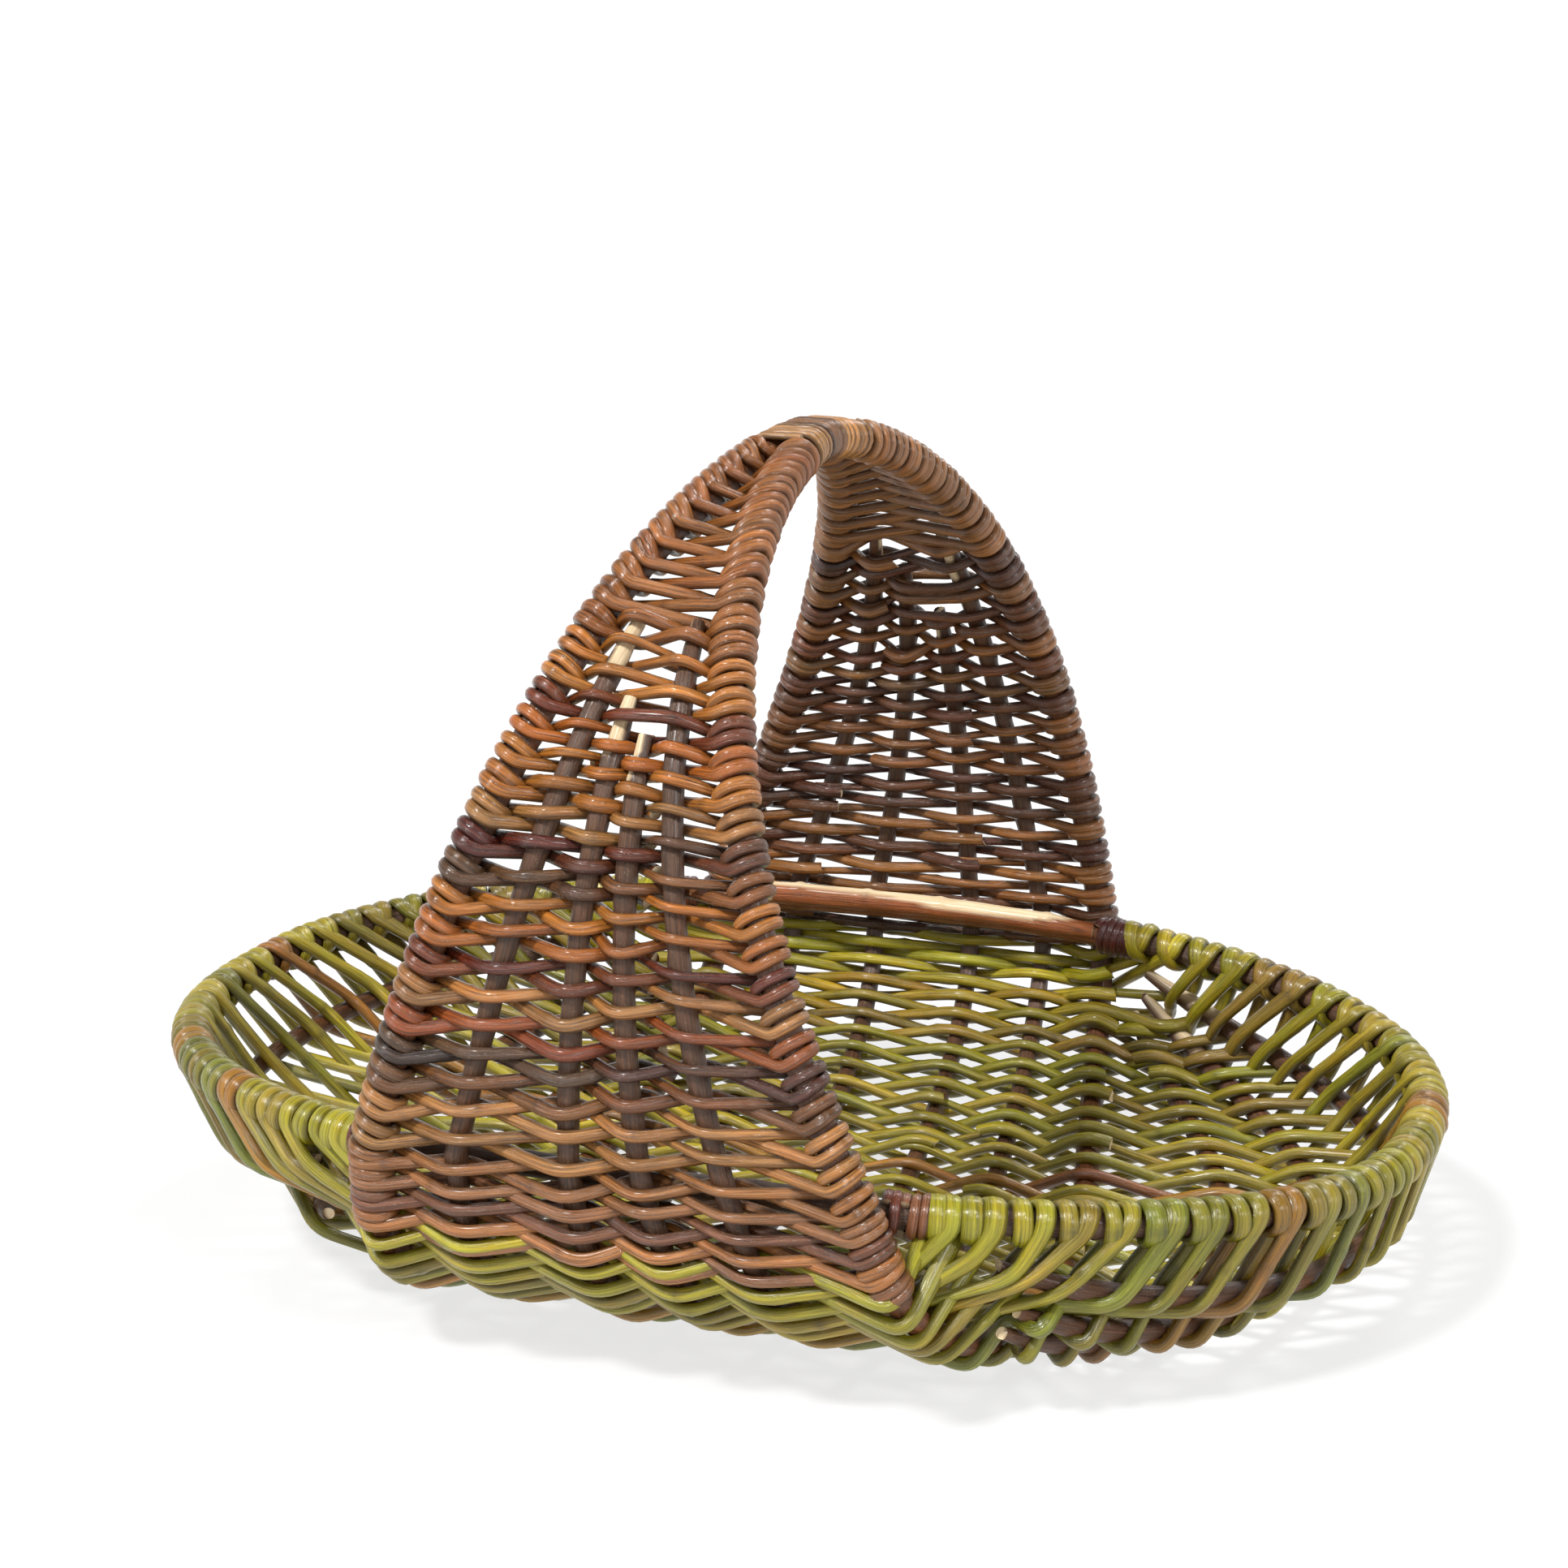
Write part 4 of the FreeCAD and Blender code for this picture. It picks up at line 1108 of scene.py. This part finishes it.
# ------------------------------------------------------------------ rim
def rim_rods():
    sp = Soup("rim_rod", 420)
    t = -math.pi / 2 + 2 * math.pi * np.arange(3001) / 3000
    P = resample(rim_curve(t), 700)[:-1]
    # the ends of the rod lie side by side on the far side, so start there
    a = int(np.argmin(np.hypot(P[:, 0] - 20, P[:, 1] - 190)))
    P = np.roll(P, -a, axis=0)
    P = np.concatenate([P, P[:1]])
    s = np.linspace(0, 1, len(P))
    # inside the panels the rim lies a little inwards of the handle hoops
    inward = np.exp(-(np.abs(P[:, 0]) / 104.0) ** 8) * np.where(P[:, 1] < 0, 8.5, 3.5)
    P[:, 1] += np.where(P[:, 1] < 0, 1, -1) * inward
    ring = 16
    n = len(P)
    col = np.broadcast_to(rod_colour(n, ring, (96, 74, 58), rng)[:, None], (n, ring, 3)).copy()
    far_mid = (np.abs(P[:, 0]) < 112) & (P[:, 1] > 0)
    w = smooth(far_mid.astype(float)[:, None], 6)
    col = col * (1 - w[:, None]) + lin((142, 90, 52))[None, None] * w[:, None]
    sp.tube(P, np.array([0, 0, 1.0]), RIM_R, RIM_R, col, ring=ring, seed=55, caps=("tip", "tip"), wrinkle=.8)
    # the overlapping end of the rim rod with its long peeled cut, on the far side
    v = np.linspace(0, 1, 90)
    x = -88 + 186 * v
    tt = np.interp(x, *(lambda q: (q[0], q[1]))((rim_curve(np.linspace(math.pi / 2 - .9, math.pi / 2 + .9, 400))[::-1, 0],
                                                  np.linspace(math.pi / 2 - .9, math.pi / 2 + .9, 400)[::-1])))
    Q = rim_curve(tt)
    Q[:, 1] -= 3.5 + 5.6 * np.clip(1.15 - v * .75, 0, 1)
    Q[:, 2] += 5.2 - 3.0 * v
    m = len(Q)
    th = 2 * math.pi * np.arange(ring) / ring
    peel = np.zeros((m, ring))
    return sp, Q, peel, th


sp, Q, peel, th = rim_rods()
m = len(Q)
u = np.linspace(0, 1, m)
for i in range(m):
    up = np.cos(th)                                         # +1 on top
    wide = np.interp(u[i], [0, .03, .045, .40, .55, .82, .93, 1.0], [-2, -1.2, .72, .62, .15, .30, .9, 1.3])
    peel[i] = np.clip((up - wide) * 6, 0, 1)
rad = np.interp(u, [0, .08, .9, 1], [5.9, 6.1, 5.2, 3.6])
sp.tube(Q, np.array([0, 0, 1.0]), rad, rad, lin((156, 92, 42)), ring=16, seed=56, caps=("butt", "tip"), wrinkle=.7, cutmask=peel)
sp.build(ROD, "peeled_rim", ("rim_hoop",))


# ------------------------------------------------------------------ foot lashings
def lashing(soup, side, near, v0, v1, turns, colour, seed, half=2.3):
    steps = int(turns * 26)
    pts, nn = [], []
    for j in range(steps + 1):
        f = j / steps
        P, a, o, u = rim_frame(side, v0 + (v1 - v0) * f)
        inward = math.exp(-(abs(P[0]) / 104.0) ** 8) * (8.5 if near else 3.5)
        P = P + np.array([0, (1 if near else -1) * inward, 0])
        r = 2 * math.pi * turns * f + 1.0
        n = o * math.cos(r) + u * math.sin(r)
        lift = .9 * max(0, math.sin(f * 9.0 + seed)) ** 2
        pts.append(P + n * (RIM_R + half * .86 + lift))
        nn.append(n)
    soup.tube(np.array(pts), np.array(nn), half, half * .86, lin(colour), ring=10, seed=seed, caps=("tip", "butt"), buds=False)


sp = Soup("foot_lashings_willow", 240)
lashing(sp, 1, True, .020, .0385, 2.6, (134, 92, 66), 201, 2.3)
lashing(sp, 1, True, .008, .0175, 1.6, (110, 60, 44), 202, 2.4)
lashing(sp, -1, True, .010, .034, 4.5, (96, 48, 38), 203, 2.4)
lashing(sp, 1, False, .962, .992, 5.2, (84, 36, 32), 204, 2.5)
lashing(sp, -1, False, .964, .990, 4.4, (96, 54, 42), 205, 2.4)
sp.build(BROWN, "dark_lashing", ("foot_lashing_near_left", "foot_lashing_near_right", "foot_lashing_far_left", "foot_lashing_far_right"))


# ------------------------------------------------------------------ floor, light, camera
def floor():
    me = bpy.data.meshes.new("floor")
    # flat round the basket, rising gently far away so that no edge shows
    rings = [(3, 0), (8, 0), (11, .1), (14, .35), (18, 1.0), (23, 2.2), (29, 4.2), (36, 7.4), (43, 11.4), (50, 16.5)]
    count = 64
    verts = [(0, 0, 0)] + [(r * math.cos(2 * math.pi * j / count), r * math.sin(2 * math.pi * j / count), z) for r, z in rings for j in range(count)]
    faces = [(0, 1 + j, 1 + (j + 1) % count) for j in range(count)]
    for i in range(len(rings) - 1):
        for j in range(count):
            p, q = 1 + i * count, 1 + (i + 1) * count
            faces.append((p + j, q + j, q + (j + 1) % count, p + (j + 1) % count))
    me.from_pydata(verts, [], faces)
    ob = bpy.data.objects.new("floor", me)
    ob.location = (0, 0, -.0005)
    m = bpy.data.materials.new("pale_floor")
    m.use_nodes = True
    b = m.node_tree.nodes["Principled BSDF"]
    b.inputs["Base Color"].default_value = (.21, .21, .21, 1)
    b.inputs["Roughness"].default_value = .9
    b.inputs["Specular IOR Level"].default_value = .1
    b.inputs["Emission Color"].default_value = (1, 1, 1, 1)
    b.inputs["Emission Strength"].default_value = .73
    me.materials.append(m)
    bpy.context.scene.collection.objects.link(ob)


floor()

world = bpy.data.worlds.new("studio")
bpy.context.scene.world = world
world.use_nodes = True
bg = world.node_tree.nodes["Background"]
bg.inputs[0].default_value = (1, 1, 1, 1)
bg.inputs[1].default_value = .36


def sun(name, frm, angle, power):
    li = bpy.data.lights.new(name, "SUN")
    li.angle = math.radians(angle)
    li.energy = power
    ob = bpy.data.objects.new(name, li)
    ob.rotation_euler = (-Vector(frm)).to_track_quat("-Z", "Y").to_euler()
    bpy.context.scene.collection.objects.link(ob)


sun("key", (-.45, -.80, 1.25), 9, 3.3)
sun("fill", (.95, -.55, .8), 14, 1.1)
sun("back", (.1, .9, .9), 14, .9)

cam = bpy.data.cameras.new("camera")
cam.sensor_width = 36.0
cam.lens = 73.64
az, el, roll, dist = math.radians(20.87), math.radians(13.76), math.radians(-.22), 1.52062
back = Vector((math.sin(az) * math.cos(el), -math.cos(az) * math.cos(el), math.sin(el)))
right = Vector((math.cos(az), math.sin(az), 0))
upv = back.cross(right)
X = right * math.cos(roll) + upv * math.sin(roll)
Y = upv * math.cos(roll) - right * math.sin(roll)
loc = Vector((-.00494, .01125, .21693)) + back * dist
camo = bpy.data.objects.new("camera", cam)
camo.matrix_world = Matrix(((X.x, Y.x, back.x, loc.x), (X.y, Y.y, back.y, loc.y), (X.z, Y.z, back.z, loc.z), (0, 0, 0, 1)))
bpy.context.scene.collection.objects.link(camo)
bpy.context.scene.camera = camo
bpy.context.scene.view_settings.view_transform = "Standard"

bpy.context.view_layer.update()
